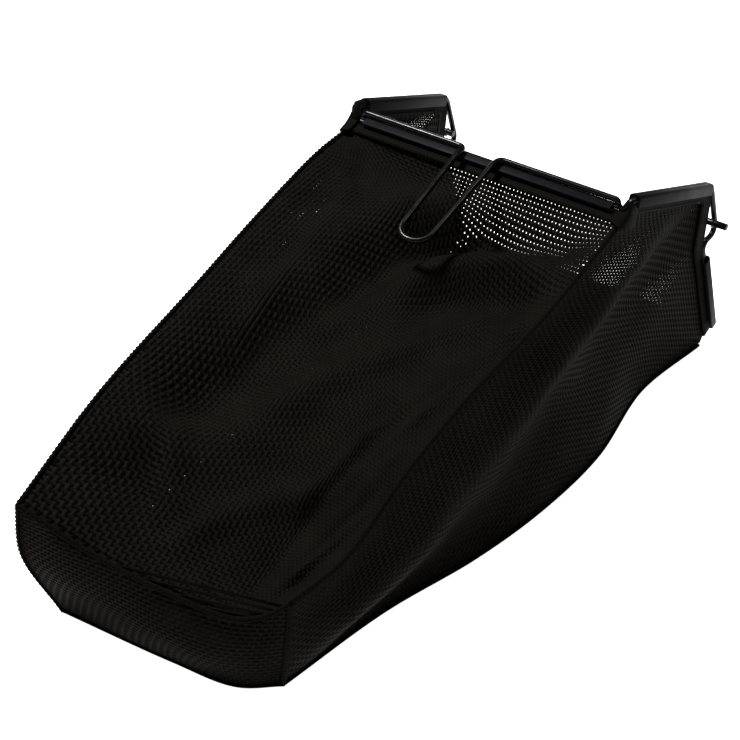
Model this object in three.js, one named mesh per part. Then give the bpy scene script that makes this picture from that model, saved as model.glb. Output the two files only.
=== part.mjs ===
// Rear collection bag of a walk-behind lawn mower: a bent rod frame with a carrying loop,
// plastic snap channels on the frame, and an open-mesh bag of five cloth panels sewn to hems.
// The bag lies on its bottom, half collapsed, with its mouth toward +Y.
// Millimetres, +Z up. Points in the frame's side profile are written as (forward, up).

import * as THREE from 'three';

// Frame, rods and carrying loop
const FRAME_WIDTH = 330;
const MOUTH_HEIGHT = 273;
const ROD_DIAMETER = 6.4;
const CROSS_ROD_SETBACK = 6;
const CORNER_RISE = 14;
const CORNER_INSET = 6;
const CORNER_BEND = 8;
const SLANT_REACH = 177;
const SLANT_DROP = 75;
const NOSE_REACH = 22;
const NOSE_DROP = 67;
const THROAT_DEPTH = 31;
const THROAT_RISE = 1;
const POST_LEAN = 30;
const BOTTOM_ROD_HEIGHT = 8.6;
const POST_TOP_DROP = 22;
const SLANT_BEND = 13;
const NOSE_BEND = 11;
const THROAT_BEND = 8;
const BOTTOM_BEND = 14;
const HANDLE_RISE = 11;
const HANDLE_AHEAD = 3;
const HANDLE_BEND = 7;
const LOOP_OFFSET = -7;
const LOOP_ROOT_WIDTH = 42;
const LOOP_TIP_WIDTH = 34;
const LOOP_LENGTH = 132;
const LOOP_DROP = 34;
const LOOP_KNEE_BEND = 24;
const PIN_LENGTH = 24;
const PIN_DIAMETER = 7.6;
const PIN_INNER_REACH = 5;
const PIN_DROP = 48;
const PIN_SIDES = 12;

// Snap channels
const CHANNEL_WIDTH = 13.2;
const CHANNEL_DEPTH = 12;
const CHANNEL_WALL = 1.7;
const CHANNEL_LIP = 1.6;
const CHANNEL_END_MARGIN = 18;
const SLANT_CHANNEL_MARGIN = 9;
const POST_CHANNEL_BASE = 12;

// Hems and cloth
const HEM_WIDTH = 13;
const HEM_THICKNESS = 2.2;
const HEM_LAP = 3;
const HEM_THROAT_SETBACK = 3;
const HEM_CORNER_MARGIN = 13;
const CLOTH_THICKNESS = 1.6;
const BAG_LENGTH = 540;
const FOOT_SETBACK = 11;
const FLOOR_RISE_LENGTH = 45;

// Closed rear of the bag, lower and narrower on the right
const REAR_HALF_WIDTH_LEFT = 158;
const REAR_HALF_WIDTH_RIGHT = 112;
const REAR_HEIGHT_LEFT = 124;
const REAR_HEIGHT_RIGHT = 103;
const REAR_HEIGHT_MIDDLE = 84;
const REAR_OVERHANG = 16;
const REAR_SKEW = 56;
const REAR_TUCK_LEFT = 28;
const REAR_TUCK_RIGHT = 3;
const REAR_LEAN_LEFT = 17;
const REAR_LEAN_RIGHT = 2;
const REAR_BULGE = 7;
const REAR_CORNER_BULGE = 8;

// Folds. The side ridge's height is a share of the panel's, at the mouth and at the rear.
const RIDGE_HEIGHT = 17;
const RIDGE_WIDTH = 34;
const RIDGE_START_SHARE = 0.7;
const RIDGE_END_SHARE = 0.36;
const RIDGE_FALL_POWER = 2.2;
const HOLLOW_DEPTH = 9;
const HOLLOW_DROP = 65;
const TOP_SAG = 8;
const MOUTH_FALL = 14;
const MOUTH_TROUGH_DEPTH = 16;
const MOUTH_FALL_SHARE = 0.09;
const MOUTH_FALL_POWER = 0.75;
const EDGE_SHARE = 0.12;
const CREASE_WIDTH = 22;
const MAIN_CREASE_DEPTH = 14;
const SECOND_CREASE_DEPTH = 11;
const PUCKER_DEPTH = 6;
const SIDE_PUCKER_DEPTH = 4;
const SWELL_SHARE = 0.3;

// The coarse weave: a field of square gaps in the top panel, just behind the mouth
const GAP_COLUMNS = 12;
const GAP_ROWS = 8;
const GAP_FIELD_LENGTH = 104;

// Clearances between pieces that touch or are sewn together
const CONTACT_GAP = 0.3;
const LAP_GAP = 0.4;
const SEAM_GAP = 2.4;
const REAR_SEAM_GAP = 1.5;

// How finely round rods, bends and cloth are divided
const ROD_SIDES = 8;
const ARC_STEPS = 5;
const ARC_SHARE = 0.49;
const TOP_ROW_LENGTH = 16.5;
const SIDE_COLUMNS = 26;
const SIDE_ROWS = 12;
const REAR_COLUMNS = 18;
const REAR_ROWS = 6;
const FLOOR_COLUMNS = 10;
const FLOOR_ROW_LENGTH = 40;

const rodRadius = ROD_DIAMETER / 2;
const sideX = FRAME_WIDTH / 2;

const rodMaterial = new THREE.MeshStandardMaterial({ color: 0x17181a, roughness: 0.32, metalness: 0.45 });
const channelMaterial = new THREE.MeshStandardMaterial({ color: 0x2b2d30, roughness: 0.3, metalness: 0 });
const hemMaterial = new THREE.MeshStandardMaterial({ color: 0x1b1a17, roughness: 0.9, metalness: 0 });
const meshClothMaterial = new THREE.MeshStandardMaterial({ color: 0x12110f, roughness: 0.85, metalness: 0 });
const plainClothMaterial = new THREE.MeshStandardMaterial({ color: 0x0f0f0e, roughness: 0.9, metalness: 0 });

const group = new THREE.Group();

function add(name, geometry, material) {
  const mesh = new THREE.Mesh(geometry, material);
  mesh.name = name;
  group.add(mesh);
}

function lerp(a, b, t) {
  return a + (b - a) * t;
}

// A bell of height 1 at zero, falling away over the given width
function bell(distance, width) {
  return Math.exp(-((distance / width) ** 2));
}

// A path through the given points with each inner corner turned into an arc of its radius,
// or of the largest radius that fits the stretches beside it
function roundedPath(points, radii) {
  const path = [points[0].clone()];
  for (let i = 1; i < points.length - 1; i += 1) {
    const back = points[i - 1].clone().sub(points[i]).normalize();
    const ahead = points[i + 1].clone().sub(points[i]).normalize();
    const half = back.angleTo(ahead) / 2;
    const shortest = Math.min(points[i].distanceTo(points[i - 1]), points[i].distanceTo(points[i + 1]));
    const reach = Math.min(radii[i - 1] / Math.tan(half), shortest * ARC_SHARE);
    const middle = back.clone().add(ahead).normalize();
    const centre = points[i].clone().addScaledVector(middle, reach / Math.cos(half));
    const from = points[i].clone().addScaledVector(back, reach).sub(centre);
    const to = points[i].clone().addScaledVector(ahead, reach).sub(centre);
    const turn = from.angleTo(to);
    for (let k = 0; k <= ARC_STEPS; k += 1) {
      const t = k / ARC_STEPS;
      const point = from.clone().multiplyScalar(Math.sin((1 - t) * turn) / Math.sin(turn));
      point.addScaledVector(to, Math.sin(t * turn) / Math.sin(turn));
      path.push(point.add(centre));
    }
  }
  path.push(points[points.length - 1].clone());
  return path;
}

// Sweeps a closed section, listed counterclockwise, along a path. The section's second axis
// starts along the reference direction and is carried along without twisting.
function sweep(path, section, reference) {
  const positions = [];
  const indices = [];
  const count = section.length;
  let up = reference.clone();
  for (let i = 0; i < path.length; i += 1) {
    const before = path[Math.max(i - 1, 0)];
    const after = path[Math.min(i + 1, path.length - 1)];
    const tangent = after.clone().sub(before).normalize();
    const across = up.clone().cross(tangent).normalize();
    up = tangent.clone().cross(across).normalize();
    for (const corner of section) {
      const point = path[i].clone().addScaledVector(across, corner.x).addScaledVector(up, corner.y);
      positions.push(point.x, point.y, point.z);
    }
  }
  for (let i = 0; i < path.length - 1; i += 1) {
    for (let j = 0; j < count; j += 1) {
      const a = i * count + j;
      const b = i * count + ((j + 1) % count);
      indices.push(a, b, b + count, a, b + count, a + count);
    }
  }
  const last = (path.length - 1) * count;
  for (const [a, b, c] of THREE.ShapeUtils.triangulateShape(section, [])) {
    indices.push(a, c, b);
    indices.push(last + a, last + b, last + c);
  }
  const geometry = new THREE.BufferGeometry();
  geometry.setAttribute('position', new THREE.Float32BufferAttribute(positions, 3));
  geometry.setIndex(indices);
  return geometry;
}

function circleSection(radius) {
  const section = [];
  for (let i = 0; i < ROD_SIDES; i += 1) {
    const angle = (i + 0.5) * 2 * Math.PI / ROD_SIDES;
    section.push(new THREE.Vector2(radius * Math.cos(angle), radius * Math.sin(angle)));
  }
  return section;
}

function rectangleSection(width, height) {
  return [
    new THREE.Vector2(-width / 2, -height / 2),
    new THREE.Vector2(width / 2, -height / 2),
    new THREE.Vector2(width / 2, height / 2),
    new THREE.Vector2(-width / 2, height / 2),
  ];
}

// The snap channel's section about the rod's centre: a rounded back, two walls and inward lips.
// Its second axis points out of the open side.
const channelBack = -(rodRadius + CONTACT_GAP + CHANNEL_WALL);
const channelFront = channelBack + CHANNEL_DEPTH;

function channelSection() {
  const half = CHANNEL_WIDTH / 2;
  const inner = half - CHANNEL_WALL;
  const chamfer = CHANNEL_WALL * 1.2;
  const lipRoot = channelFront - CHANNEL_WALL;
  const right = [
    new THREE.Vector2(half - chamfer, channelBack),
    new THREE.Vector2(half, channelBack + chamfer),
    new THREE.Vector2(half, channelFront),
    new THREE.Vector2(inner - CHANNEL_LIP, channelFront),
    new THREE.Vector2(inner - CHANNEL_LIP, lipRoot),
    new THREE.Vector2(inner, lipRoot),
    new THREE.Vector2(inner, channelBack + CHANNEL_WALL),
  ];
  const left = right.map((p) => new THREE.Vector2(-p.x, p.y)).reverse();
  return [...right, ...left];
}

// Side profile of the frame as (forward, up)
const cornerPoint = new THREE.Vector2(0, MOUTH_HEIGHT + CORNER_RISE);
const slantEnd = new THREE.Vector2(SLANT_REACH, cornerPoint.y - SLANT_DROP);
const noseTip = new THREE.Vector2(slantEnd.x + NOSE_REACH, slantEnd.y - NOSE_DROP);
const throat = new THREE.Vector2(noseTip.x - THROAT_DEPTH, noseTip.y + THROAT_RISE);
const bottomRod = new THREE.Vector2(slantEnd.x + POST_LEAN + CROSS_ROD_SETBACK, BOTTOM_ROD_HEIGHT);

function profilePoint(profile, x) {
  return new THREE.Vector3(x, profile.x, profile.y);
}

function alongLine(from, to, distance) {
  const direction = to.clone().sub(from).normalize();
  return from.clone().addScaledVector(direction, distance);
}

// Moves a point of the side profile off a line of the frame, toward the inside of the bag
function inward(point, from, to, distance) {
  const direction = to.clone().sub(from).normalize();
  return new THREE.Vector2(point.x + direction.y * distance, point.y - direction.x * distance);
}

// The post's top sits on the line from the throat to the bottom rod
const postTop = throat.clone().lerp(bottomRod, POST_TOP_DROP / (throat.y - bottomRod.y));
const crossRodZ = MOUTH_HEIGHT;
const crossRodY = -CROSS_ROD_SETBACK;
const channelHalfLength = sideX - CHANNEL_END_MARGIN;

// Upper frame rod: cross rod, rising corners, slanted sides, noses and throats, in one bend
function addUpperFrameRod() {
  const half = [
    new THREE.Vector3(sideX - CORNER_INSET, crossRodY, crossRodZ),
    profilePoint(cornerPoint, sideX),
    profilePoint(slantEnd, sideX),
    profilePoint(noseTip, sideX),
    profilePoint(throat, sideX),
    profilePoint(alongLine(postTop, throat, CONTACT_GAP / 2), sideX),
  ];
  const radii = [CORNER_BEND, CORNER_BEND, SLANT_BEND, NOSE_BEND, THROAT_BEND];
  const mirrored = half.map((p) => new THREE.Vector3(-p.x, p.y, p.z)).reverse();
  const path = roundedPath([...mirrored, ...half], [...radii.slice().reverse(), ...radii]);
  const reference = new THREE.Vector3(1, 0, 0);
  add('upper_frame_rod', sweep(path, circleSection(rodRadius), reference), rodMaterial);
}

// Lower frame rod: two posts and the bottom cross rod
function addLowerFrameRod() {
  const start = profilePoint(alongLine(postTop, bottomRod, CONTACT_GAP / 2), sideX);
  const corner = profilePoint(bottomRod, sideX);
  const mirrored = [corner, start].map((p) => new THREE.Vector3(-p.x, p.y, p.z));
  const path = roundedPath([start, corner, ...mirrored], [BOTTOM_BEND, BOTTOM_BEND]);
  const reference = new THREE.Vector3(1, 0, 0);
  add('lower_frame_rod', sweep(path, circleSection(rodRadius), reference), rodMaterial);
}

// Handle wire: runs along the top of the mouth, with a long carrying loop laid back over the cloth.
// Its ends turn down onto the top of the cross rod.
const handleY = crossRodY + HANDLE_AHEAD;
const handleZ = crossRodZ + HANDLE_RISE;

function addHandleWire() {
  const endX = channelHalfLength + CONTACT_GAP + rodRadius;
  const kneeY = crossRodY - channelFront - rodRadius;
  const tipY = handleY - LOOP_LENGTH;
  const kneeHalf = lerp(LOOP_ROOT_WIDTH, LOOP_TIP_WIDTH, (handleY - kneeY) / LOOP_LENGTH) / 2;
  const legs = [
    new THREE.Vector3(endX, handleY, crossRodZ + rodRadius + CONTACT_GAP),
    new THREE.Vector3(endX, handleY, handleZ),
    new THREE.Vector3(LOOP_OFFSET + LOOP_ROOT_WIDTH / 2, handleY, handleZ),
    new THREE.Vector3(LOOP_OFFSET + kneeHalf, kneeY, handleZ),
    new THREE.Vector3(LOOP_OFFSET + LOOP_TIP_WIDTH / 2, tipY, handleZ - LOOP_DROP),
  ];
  const otherLegs = legs.map((p, i) => new THREE.Vector3(i < 2 ? -p.x : 2 * LOOP_OFFSET - p.x, p.y, p.z));
  const radii = [HANDLE_BEND, HANDLE_BEND, LOOP_KNEE_BEND, LOOP_TIP_WIDTH / 2];
  const path = roundedPath([...otherLegs, ...legs.reverse()], [...radii, ...radii.slice().reverse()]);
  add('handle_wire', sweep(path, circleSection(rodRadius), new THREE.Vector3(0, 1, 0)), rodMaterial);
}

// Hanger pins: short round pins laid across the inside of the noses, standing out sideways
function addHangerPins() {
  const seat = rodRadius + CONTACT_GAP + PIN_DIAMETER / 2;
  const place = inward(alongLine(slantEnd, noseTip, PIN_DROP), slantEnd, noseTip, seat);
  for (const [name, side] of [['left_hanger_pin', -1], ['right_hanger_pin', 1]]) {
    const geometry = new THREE.CylinderGeometry(PIN_DIAMETER / 2, PIN_DIAMETER / 2, PIN_LENGTH, PIN_SIDES);
    geometry.rotateZ(Math.PI / 2);
    geometry.translate(side * (sideX - PIN_INNER_REACH + PIN_LENGTH / 2), place.x, place.y);
    add(name, geometry, rodMaterial);
  }
}

// The direction in which the top panel leaves the cross rod
const topSlope = (MOUTH_HEIGHT - REAR_HEIGHT_LEFT) / BAG_LENGTH;
const topDirection = new THREE.Vector3(0, -1, -topSlope).normalize();

function addChannels() {
  const section = channelSection();
  const crossEnds = [-1, 1].map((side) => new THREE.Vector3(side * channelHalfLength, crossRodY, crossRodZ));
  add('top_channel', sweep(crossEnds, section, topDirection), channelMaterial);
  const bottomEnds = crossEnds.map((p) => new THREE.Vector3(p.x, bottomRod.x, bottomRod.y));
  add('bottom_channel', sweep(bottomEnds, section, new THREE.Vector3(0, -1, 0)), channelMaterial);
  for (const [name, side] of [['left', -1], ['right', 1]]) {
    const slantRun = cornerPoint.distanceTo(slantEnd);
    const slantEnds = [
      alongLine(cornerPoint, slantEnd, SLANT_CHANNEL_MARGIN + CORNER_BEND / 2),
      alongLine(cornerPoint, slantEnd, slantRun - SLANT_CHANNEL_MARGIN),
    ];
    const slantDown = inward(new THREE.Vector2(), cornerPoint, slantEnd, 1);
    const slantPath = slantEnds.map((p) => profilePoint(p, side * sideX));
    add(`${name}_slant_channel`, sweep(slantPath, section, profilePoint(slantDown, 0)), channelMaterial);
    const postEnds = [postTop, alongLine(bottomRod, postTop, POST_CHANNEL_BASE)];
    const postBack = inward(new THREE.Vector2(), throat, bottomRod, 1);
    const postPath = postEnds.map((p) => profilePoint(p, side * sideX));
    add(`${name}_post_channel`, sweep(postPath, section, profilePoint(postBack, 0)), channelMaterial);
  }
}

// A hem starts just behind the rod, inside the channel's open side. The cloth laps over the
// hem's inner edge, on the side toward the inside of the bag.
const hemCentreOffset = rodRadius + CONTACT_GAP + HEM_WIDTH / 2;
const lapOffset = hemCentreOffset + HEM_WIDTH / 2 - HEM_LAP;
const lapShift = (HEM_THICKNESS + CLOTH_THICKNESS) / 2 + LAP_GAP;

// The middle line of a side hem: under the slanted rod, across the throat and down the post
function sideHemPath(side) {
  const line = [
    inward(alongLine(cornerPoint, slantEnd, HEM_CORNER_MARGIN), cornerPoint, slantEnd, hemCentreOffset),
    inward(alongLine(slantEnd, cornerPoint, SLANT_CHANNEL_MARGIN), cornerPoint, slantEnd, hemCentreOffset),
    new THREE.Vector2(throat.x - rodRadius - HEM_THROAT_SETBACK - HEM_WIDTH / 2, throat.y),
    inward(alongLine(postTop, bottomRod, HEM_WIDTH), throat, bottomRod, hemCentreOffset),
    inward(alongLine(bottomRod, postTop, ROD_DIAMETER), throat, bottomRod, hemCentreOffset),
  ];
  const points = line.map((p) => profilePoint(p, side * sideX));
  return roundedPath(points, [HEM_WIDTH, HEM_WIDTH * 2, HEM_WIDTH * 2]);
}

// The edge of the cloth that laps over a side hem, from the hem's middle line
function clothEdgeAlong(path, side) {
  return path.map((point, i) => {
    const before = path[Math.max(i - 1, 0)];
    const after = path[Math.min(i + 1, path.length - 1)];
    const from = new THREE.Vector2(before.y, before.z);
    const to = new THREE.Vector2(after.y, after.z);
    const edge = inward(new THREE.Vector2(point.y, point.z), from, to, lapOffset - hemCentreOffset);
    return profilePoint(edge, side * (sideX - lapShift));
  });
}

function addHems() {
  const section = rectangleSection(HEM_WIDTH, HEM_THICKNESS);
  const flat = rectangleSection(HEM_THICKNESS, HEM_WIDTH);
  const reach = sideX - ROD_DIAMETER;
  const topCentre = new THREE.Vector3(0, crossRodY, crossRodZ).addScaledVector(topDirection, hemCentreOffset);
  const topEnds = [-reach, reach].map((x) => topCentre.clone().setX(x));
  add('top_hem', sweep(topEnds, flat, topDirection), hemMaterial);
  const bottomCentre = new THREE.Vector3(0, bottomRod.x - hemCentreOffset, bottomRod.y);
  const bottomReach = sideX - BOTTOM_BEND - rodRadius;
  const bottomEnds = [-bottomReach, bottomReach].map((x) => bottomCentre.clone().setX(x));
  add('bottom_hem', sweep(bottomEnds, flat, new THREE.Vector3(0, -1, 0)), hemMaterial);
  for (const [name, side] of [['left_side_hem', -1], ['right_side_hem', 1]]) {
    add(name, sweep(sideHemPath(side), section, new THREE.Vector3(1, 0, 0)), hemMaterial);
  }
}

// Builds a closed sheet of even thickness over a grid of surface points. Cells for which
// isGap is true are left out and get walls of their own.
function clothSheet(surface, us, vs, isGap = () => false) {
  const points = us.map((u) => vs.map((v) => surface(u, v)));
  const positions = [];
  const indices = [];
  const rows = vs.length;
  const layer = us.length * rows;
  for (const side of [1, -1]) {
    for (let i = 0; i < us.length; i += 1) {
      for (let j = 0; j < rows; j += 1) {
        const alongU = points[Math.min(i + 1, us.length - 1)][j].clone().sub(points[Math.max(i - 1, 0)][j]);
        const alongV = points[i][Math.min(j + 1, rows - 1)].clone().sub(points[i][Math.max(j - 1, 0)]);
        const normal = alongU.cross(alongV).normalize();
        const point = points[i][j].clone().addScaledVector(normal, side * CLOTH_THICKNESS / 2);
        positions.push(point.x, point.y, point.z);
      }
    }
  }
  const solid = (i, j) => i >= 0 && j >= 0 && i < us.length - 1 && j < rows - 1 && !isGap(i, j);
  const wall = (p, q) => indices.push(p, p + layer, q + layer, p, q + layer, q);
  for (let i = 0; i < us.length - 1; i += 1) {
    for (let j = 0; j < rows - 1; j += 1) {
      if (solid(i, j)) {
        const a = i * rows + j;
        const b = a + rows;
        indices.push(a, b, b + 1, a, b + 1, a + 1);
        indices.push(a + layer, b + 1 + layer, b + layer, a + layer, a + 1 + layer, b + 1 + layer);
        if (!solid(i, j - 1)) wall(a, b);
        if (!solid(i + 1, j)) wall(b, b + 1);
        if (!solid(i, j + 1)) wall(b + 1, a + 1);
        if (!solid(i - 1, j)) wall(a + 1, a);
      }
    }
  }
  const geometry = new THREE.BufferGeometry();
  geometry.setAttribute('position', new THREE.Float32BufferAttribute(positions, 3));
  geometry.setIndex(indices);
  return geometry;
}

// Evenly spaced values from 0 to 1
function even(steps) {
  return Array.from({ length: steps + 1 }, (_, i) => i / steps);
}

// A surface stretched between four edge curves, each a function of 0 to 1
function stretched(low, high, start, end) {
  const corner00 = low(0);
  const corner10 = low(1);
  const corner01 = high(0);
  const corner11 = high(1);
  return (u, v) => {
    const point = low(u).multiplyScalar(1 - v).addScaledVector(high(u), v);
    point.addScaledVector(start(v), 1 - u).addScaledVector(end(v), u);
    point.addScaledVector(corner00, -(1 - u) * (1 - v)).addScaledVector(corner10, -u * (1 - v));
    return point.addScaledVector(corner01, -(1 - u) * v).addScaledVector(corner11, -u * v);
  };
}

// Keeps a sheet's edges a gap away from the curves that they are sewn along
function inset(t, span, gap = SEAM_GAP) {
  return lerp(gap / span, 1 - gap / span, t);
}

// Keeps only the far edge away, where the near edge already has its own gap
function insetEnd(t, span) {
  return t * (1 - SEAM_GAP / span);
}

function curveThrough(points) {
  const curve = new THREE.CatmullRomCurve3(points, false, 'centripetal');
  return (t) => curve.getPoint(t);
}

// Seams. Each runs from the mouth, at 0, to the rear, at 1. The frame holds their front ends;
// toward the rear the bag sinks and narrows, more on the right than on the left.
const underside = new THREE.Vector3(0, -topDirection.z, topDirection.y);
const topLap = new THREE.Vector3(0, crossRodY, crossRodZ).addScaledVector(topDirection, lapOffset);
topLap.addScaledVector(underside, lapShift);
const seamStartX = sideX - lapShift;
const rearLeftY = -BAG_LENGTH - REAR_OVERHANG;
const rearRightY = rearLeftY + REAR_SKEW;

// A seam from the mouth to the rear. Each station between its ends is written as shares of the
// way back, of the narrowing and of the fall from start to end.
function seamThrough(start, end, stations) {
  const between = stations.map(([back, narrowing, fall]) => (
    new THREE.Vector3(lerp(start.x, end.x, narrowing), -BAG_LENGTH * back, lerp(start.z, end.z, fall))
  ));
  return curveThrough([start, ...between, end]);
}

const topSeamRight = seamThrough(
  new THREE.Vector3(seamStartX, topLap.y, topLap.z),
  new THREE.Vector3(REAR_HALF_WIDTH_RIGHT, rearRightY, REAR_HEIGHT_RIGHT),
  [[0.265, 0.2, 0.272], [0.48, 0.36, 0.42], [0.64, 0.54, 0.633], [0.8, 0.74, 0.93]],
);

const topSeamLeft = seamThrough(
  new THREE.Vector3(-seamStartX, topLap.y, topLap.z),
  new THREE.Vector3(-REAR_HALF_WIDTH_LEFT, rearLeftY, REAR_HEIGHT_LEFT),
  [[0.5, 0, 0.448], [0.78, 0, 0.7]],
);

const footFront = new THREE.Vector3(seamStartX, bottomRod.x - lapOffset - FOOT_SETBACK, 0);
const rearFootLeft = new THREE.Vector3(REAR_TUCK_LEFT - REAR_HALF_WIDTH_LEFT, rearLeftY + REAR_LEAN_LEFT, 0);
const rearFootRight = new THREE.Vector3(
  REAR_HALF_WIDTH_RIGHT - REAR_TUCK_RIGHT,
  rearRightY + REAR_LEAN_RIGHT,
  0,
);

const footSeamRight = seamThrough(
  footFront,
  rearFootRight,
  [[-0.15, 0.12, 0], [0.09, -0.14, 0], [0.29, -0.08, 0], [0.47, 0.14, 0], [0.68, 0.61, 0]],
);

const footSeamLeft = seamThrough(
  new THREE.Vector3(-footFront.x, footFront.y, 0),
  rearFootLeft,
  [[-0.1, 0.1, 0], [0.25, -0.08, 0], [0.7, 0.1, 0]],
);

// Seams round the rear panel. They run from left to right, and from the floor up. The top one's
// stations are a half width's share, a share of the skew and a height.
const rearTopSeam = curveThrough([
  topSeamLeft(1),
  ...[
    [-REAR_HALF_WIDTH_LEFT * 0.5, 0.25, lerp(REAR_HEIGHT_MIDDLE, REAR_HEIGHT_LEFT, 0.3)],
    [0, 0.39, REAR_HEIGHT_MIDDLE],
    [REAR_HALF_WIDTH_RIGHT * 0.58, 0.57, lerp(REAR_HEIGHT_MIDDLE, REAR_HEIGHT_RIGHT, -0.26)],
    [REAR_HALF_WIDTH_RIGHT * 0.82, 0.77, lerp(REAR_HEIGHT_MIDDLE, REAR_HEIGHT_RIGHT, 0.16)],
  ].map(([x, skewed, height]) => new THREE.Vector3(x, rearLeftY + REAR_SKEW * skewed, height)),
  topSeamRight(1),
]);

const rearFootSeam = curveThrough([
  rearFootLeft,
  new THREE.Vector3(0, lerp(rearFootLeft.y, rearFootRight.y, 0.3), 0),
  new THREE.Vector3(rearFootRight.x * 0.67, lerp(rearFootLeft.y, rearFootRight.y, 0.5), 0),
  rearFootRight,
]);

const rearSeamLeft = curveThrough([
  rearFootLeft,
  new THREE.Vector3(
    -REAR_HALF_WIDTH_LEFT - REAR_CORNER_BULGE,
    rearLeftY - REAR_CORNER_BULGE,
    REAR_HEIGHT_LEFT * 0.55,
  ),
  topSeamLeft(1),
]);

const rearSeamRight = curveThrough([
  rearFootRight,
  new THREE.Vector3(
    lerp(rearFootRight.x, REAR_HALF_WIDTH_RIGHT, 0.5) + REAR_CORNER_BULGE / 2,
    lerp(rearFootRight.y, rearRightY, 0.5) - REAR_CORNER_BULGE / 2,
    REAR_HEIGHT_RIGHT * 0.5,
  ),
  topSeamRight(1),
]);

function straight(from, to) {
  return (t) => from.clone().lerp(to, t);
}

// Creases of the top panel, as (share of the width from the left, share of the length)
const mouthTrough = [[1, 0.02], [0.88, 0.045], [0.79, 0.055], [0.59, 0.085], [0.43, 0.175]];
const topCreases = [
  {
    depth: MAIN_CREASE_DEPTH,
    line: [...mouthTrough, [0.32, 0.43], [0.23, 0.585], [0.15, 0.72]],
  },
  { depth: MOUTH_TROUGH_DEPTH, line: mouthTrough },
  {
    depth: SECOND_CREASE_DEPTH,
    line: [[0.97, 0.15], [0.82, 0.205], [0.68, 0.235], [0.47, 0.35], [0.33, 0.57], [0.23, 0.7]],
  },
  { depth: PUCKER_DEPTH, line: [[0.74, 0.55], [0.66, 0.74], [0.62, 0.93]] },
  { depth: PUCKER_DEPTH, line: [[0.93, 0.66], [0.84, 0.8], [0.8, 0.95]] },
  { depth: PUCKER_DEPTH, line: [[0.18, 0.86], [0.32, 0.92], [0.44, 0.97]] },
  { depth: SIDE_PUCKER_DEPTH, line: [[0.06, 0.12], [0.1, 0.4], [0.05, 0.7]] },
];

// The shortest distance from a point in plan to a crease's line, in millimetres
function creaseDistance(line, u, v) {
  let best = Infinity;
  const point = new THREE.Vector3(u * FRAME_WIDTH, v * BAG_LENGTH, 0);
  const nearest = new THREE.Vector3();
  for (let i = 0; i < line.length - 1; i += 1) {
    const from = new THREE.Vector3(line[i][0] * FRAME_WIDTH, line[i][1] * BAG_LENGTH, 0);
    const to = new THREE.Vector3(line[i + 1][0] * FRAME_WIDTH, line[i + 1][1] * BAG_LENGTH, 0);
    new THREE.Line3(from, to).closestPointToPoint(point, true, nearest);
    best = Math.min(best, nearest.distanceTo(point));
  }
  return best;
}

// How free a sheet is to fold: 0 at its sewn edges, rising to 1 over the edge share
function freeAt(t) {
  return Math.min(1, Math.max(0, t) / EDGE_SHARE) * Math.min(1, (1 - t) / EDGE_SHARE);
}

const topBase = stretched(
  straight(topSeamLeft(0), topSeamRight(0)),
  rearTopSeam,
  topSeamLeft,
  topSeamRight,
);

// How far the top cloth hangs behind the mouth: quickly to its lowest, then slowly back
function fallAt(v) {
  const t = v / MOUTH_FALL_SHARE;
  return t * Math.exp(1 - t);
}

function topSurface(across, along) {
  const u = inset(across, FRAME_WIDTH);
  const v = insetEnd(along, BAG_LENGTH);
  const point = topBase(u, v);
  const free = freeAt(u) * freeAt(v);
  point.z -= TOP_SAG * Math.sin(Math.PI * u) * Math.sin(Math.PI * v ** 0.7);
  point.z -= MOUTH_FALL * Math.sin(Math.PI * u) ** MOUTH_FALL_POWER * fallAt(v);
  for (const crease of topCreases) {
    const distance = creaseDistance(crease.line, u, v);
    point.z -= free * crease.depth * bell(distance, CREASE_WIDTH);
    point.z += free * crease.depth * SWELL_SHARE * bell(distance - 2 * CREASE_WIDTH, CREASE_WIDTH);
  }
  return point;
}

function addTopPanel() {
  const columns = 2 * GAP_COLUMNS + 1;
  const fieldRows = 2 * GAP_ROWS + 1;
  const fieldShare = GAP_FIELD_LENGTH / BAG_LENGTH;
  const plainRows = Math.round((BAG_LENGTH - GAP_FIELD_LENGTH) / TOP_ROW_LENGTH);
  const vs = even(fieldRows).map((t) => t * fieldShare);
  for (const t of even(plainRows).slice(1)) {
    vs.push(lerp(fieldShare, 1, t));
  }
  const isGap = (i, j) => i % 2 === 1 && j % 2 === 1 && j < fieldRows - 1;
  add('top_panel', clothSheet(topSurface, even(columns), vs, isGap), meshClothMaterial);
}

// The front edge of a side panel, from the floor up, along the inner edge of its hem
function frontEdge(side) {
  const foot = side > 0 ? footSeamRight(0) : footSeamLeft(0);
  const top = side > 0 ? topSeamRight(0) : topSeamLeft(0);
  const path = [foot, ...clothEdgeAlong(sideHemPath(side), side).reverse(), top];
  const curve = new THREE.CurvePath();
  for (let i = 0; i < path.length - 1; i += 1) {
    curve.add(new THREE.LineCurve3(path[i], path[i + 1]));
  }
  return (t) => curve.getPoint(t);
}

// The share of a side panel's length that lies on its hem
const lapShare = 2 * HEM_LAP / BAG_LENGTH;

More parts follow.
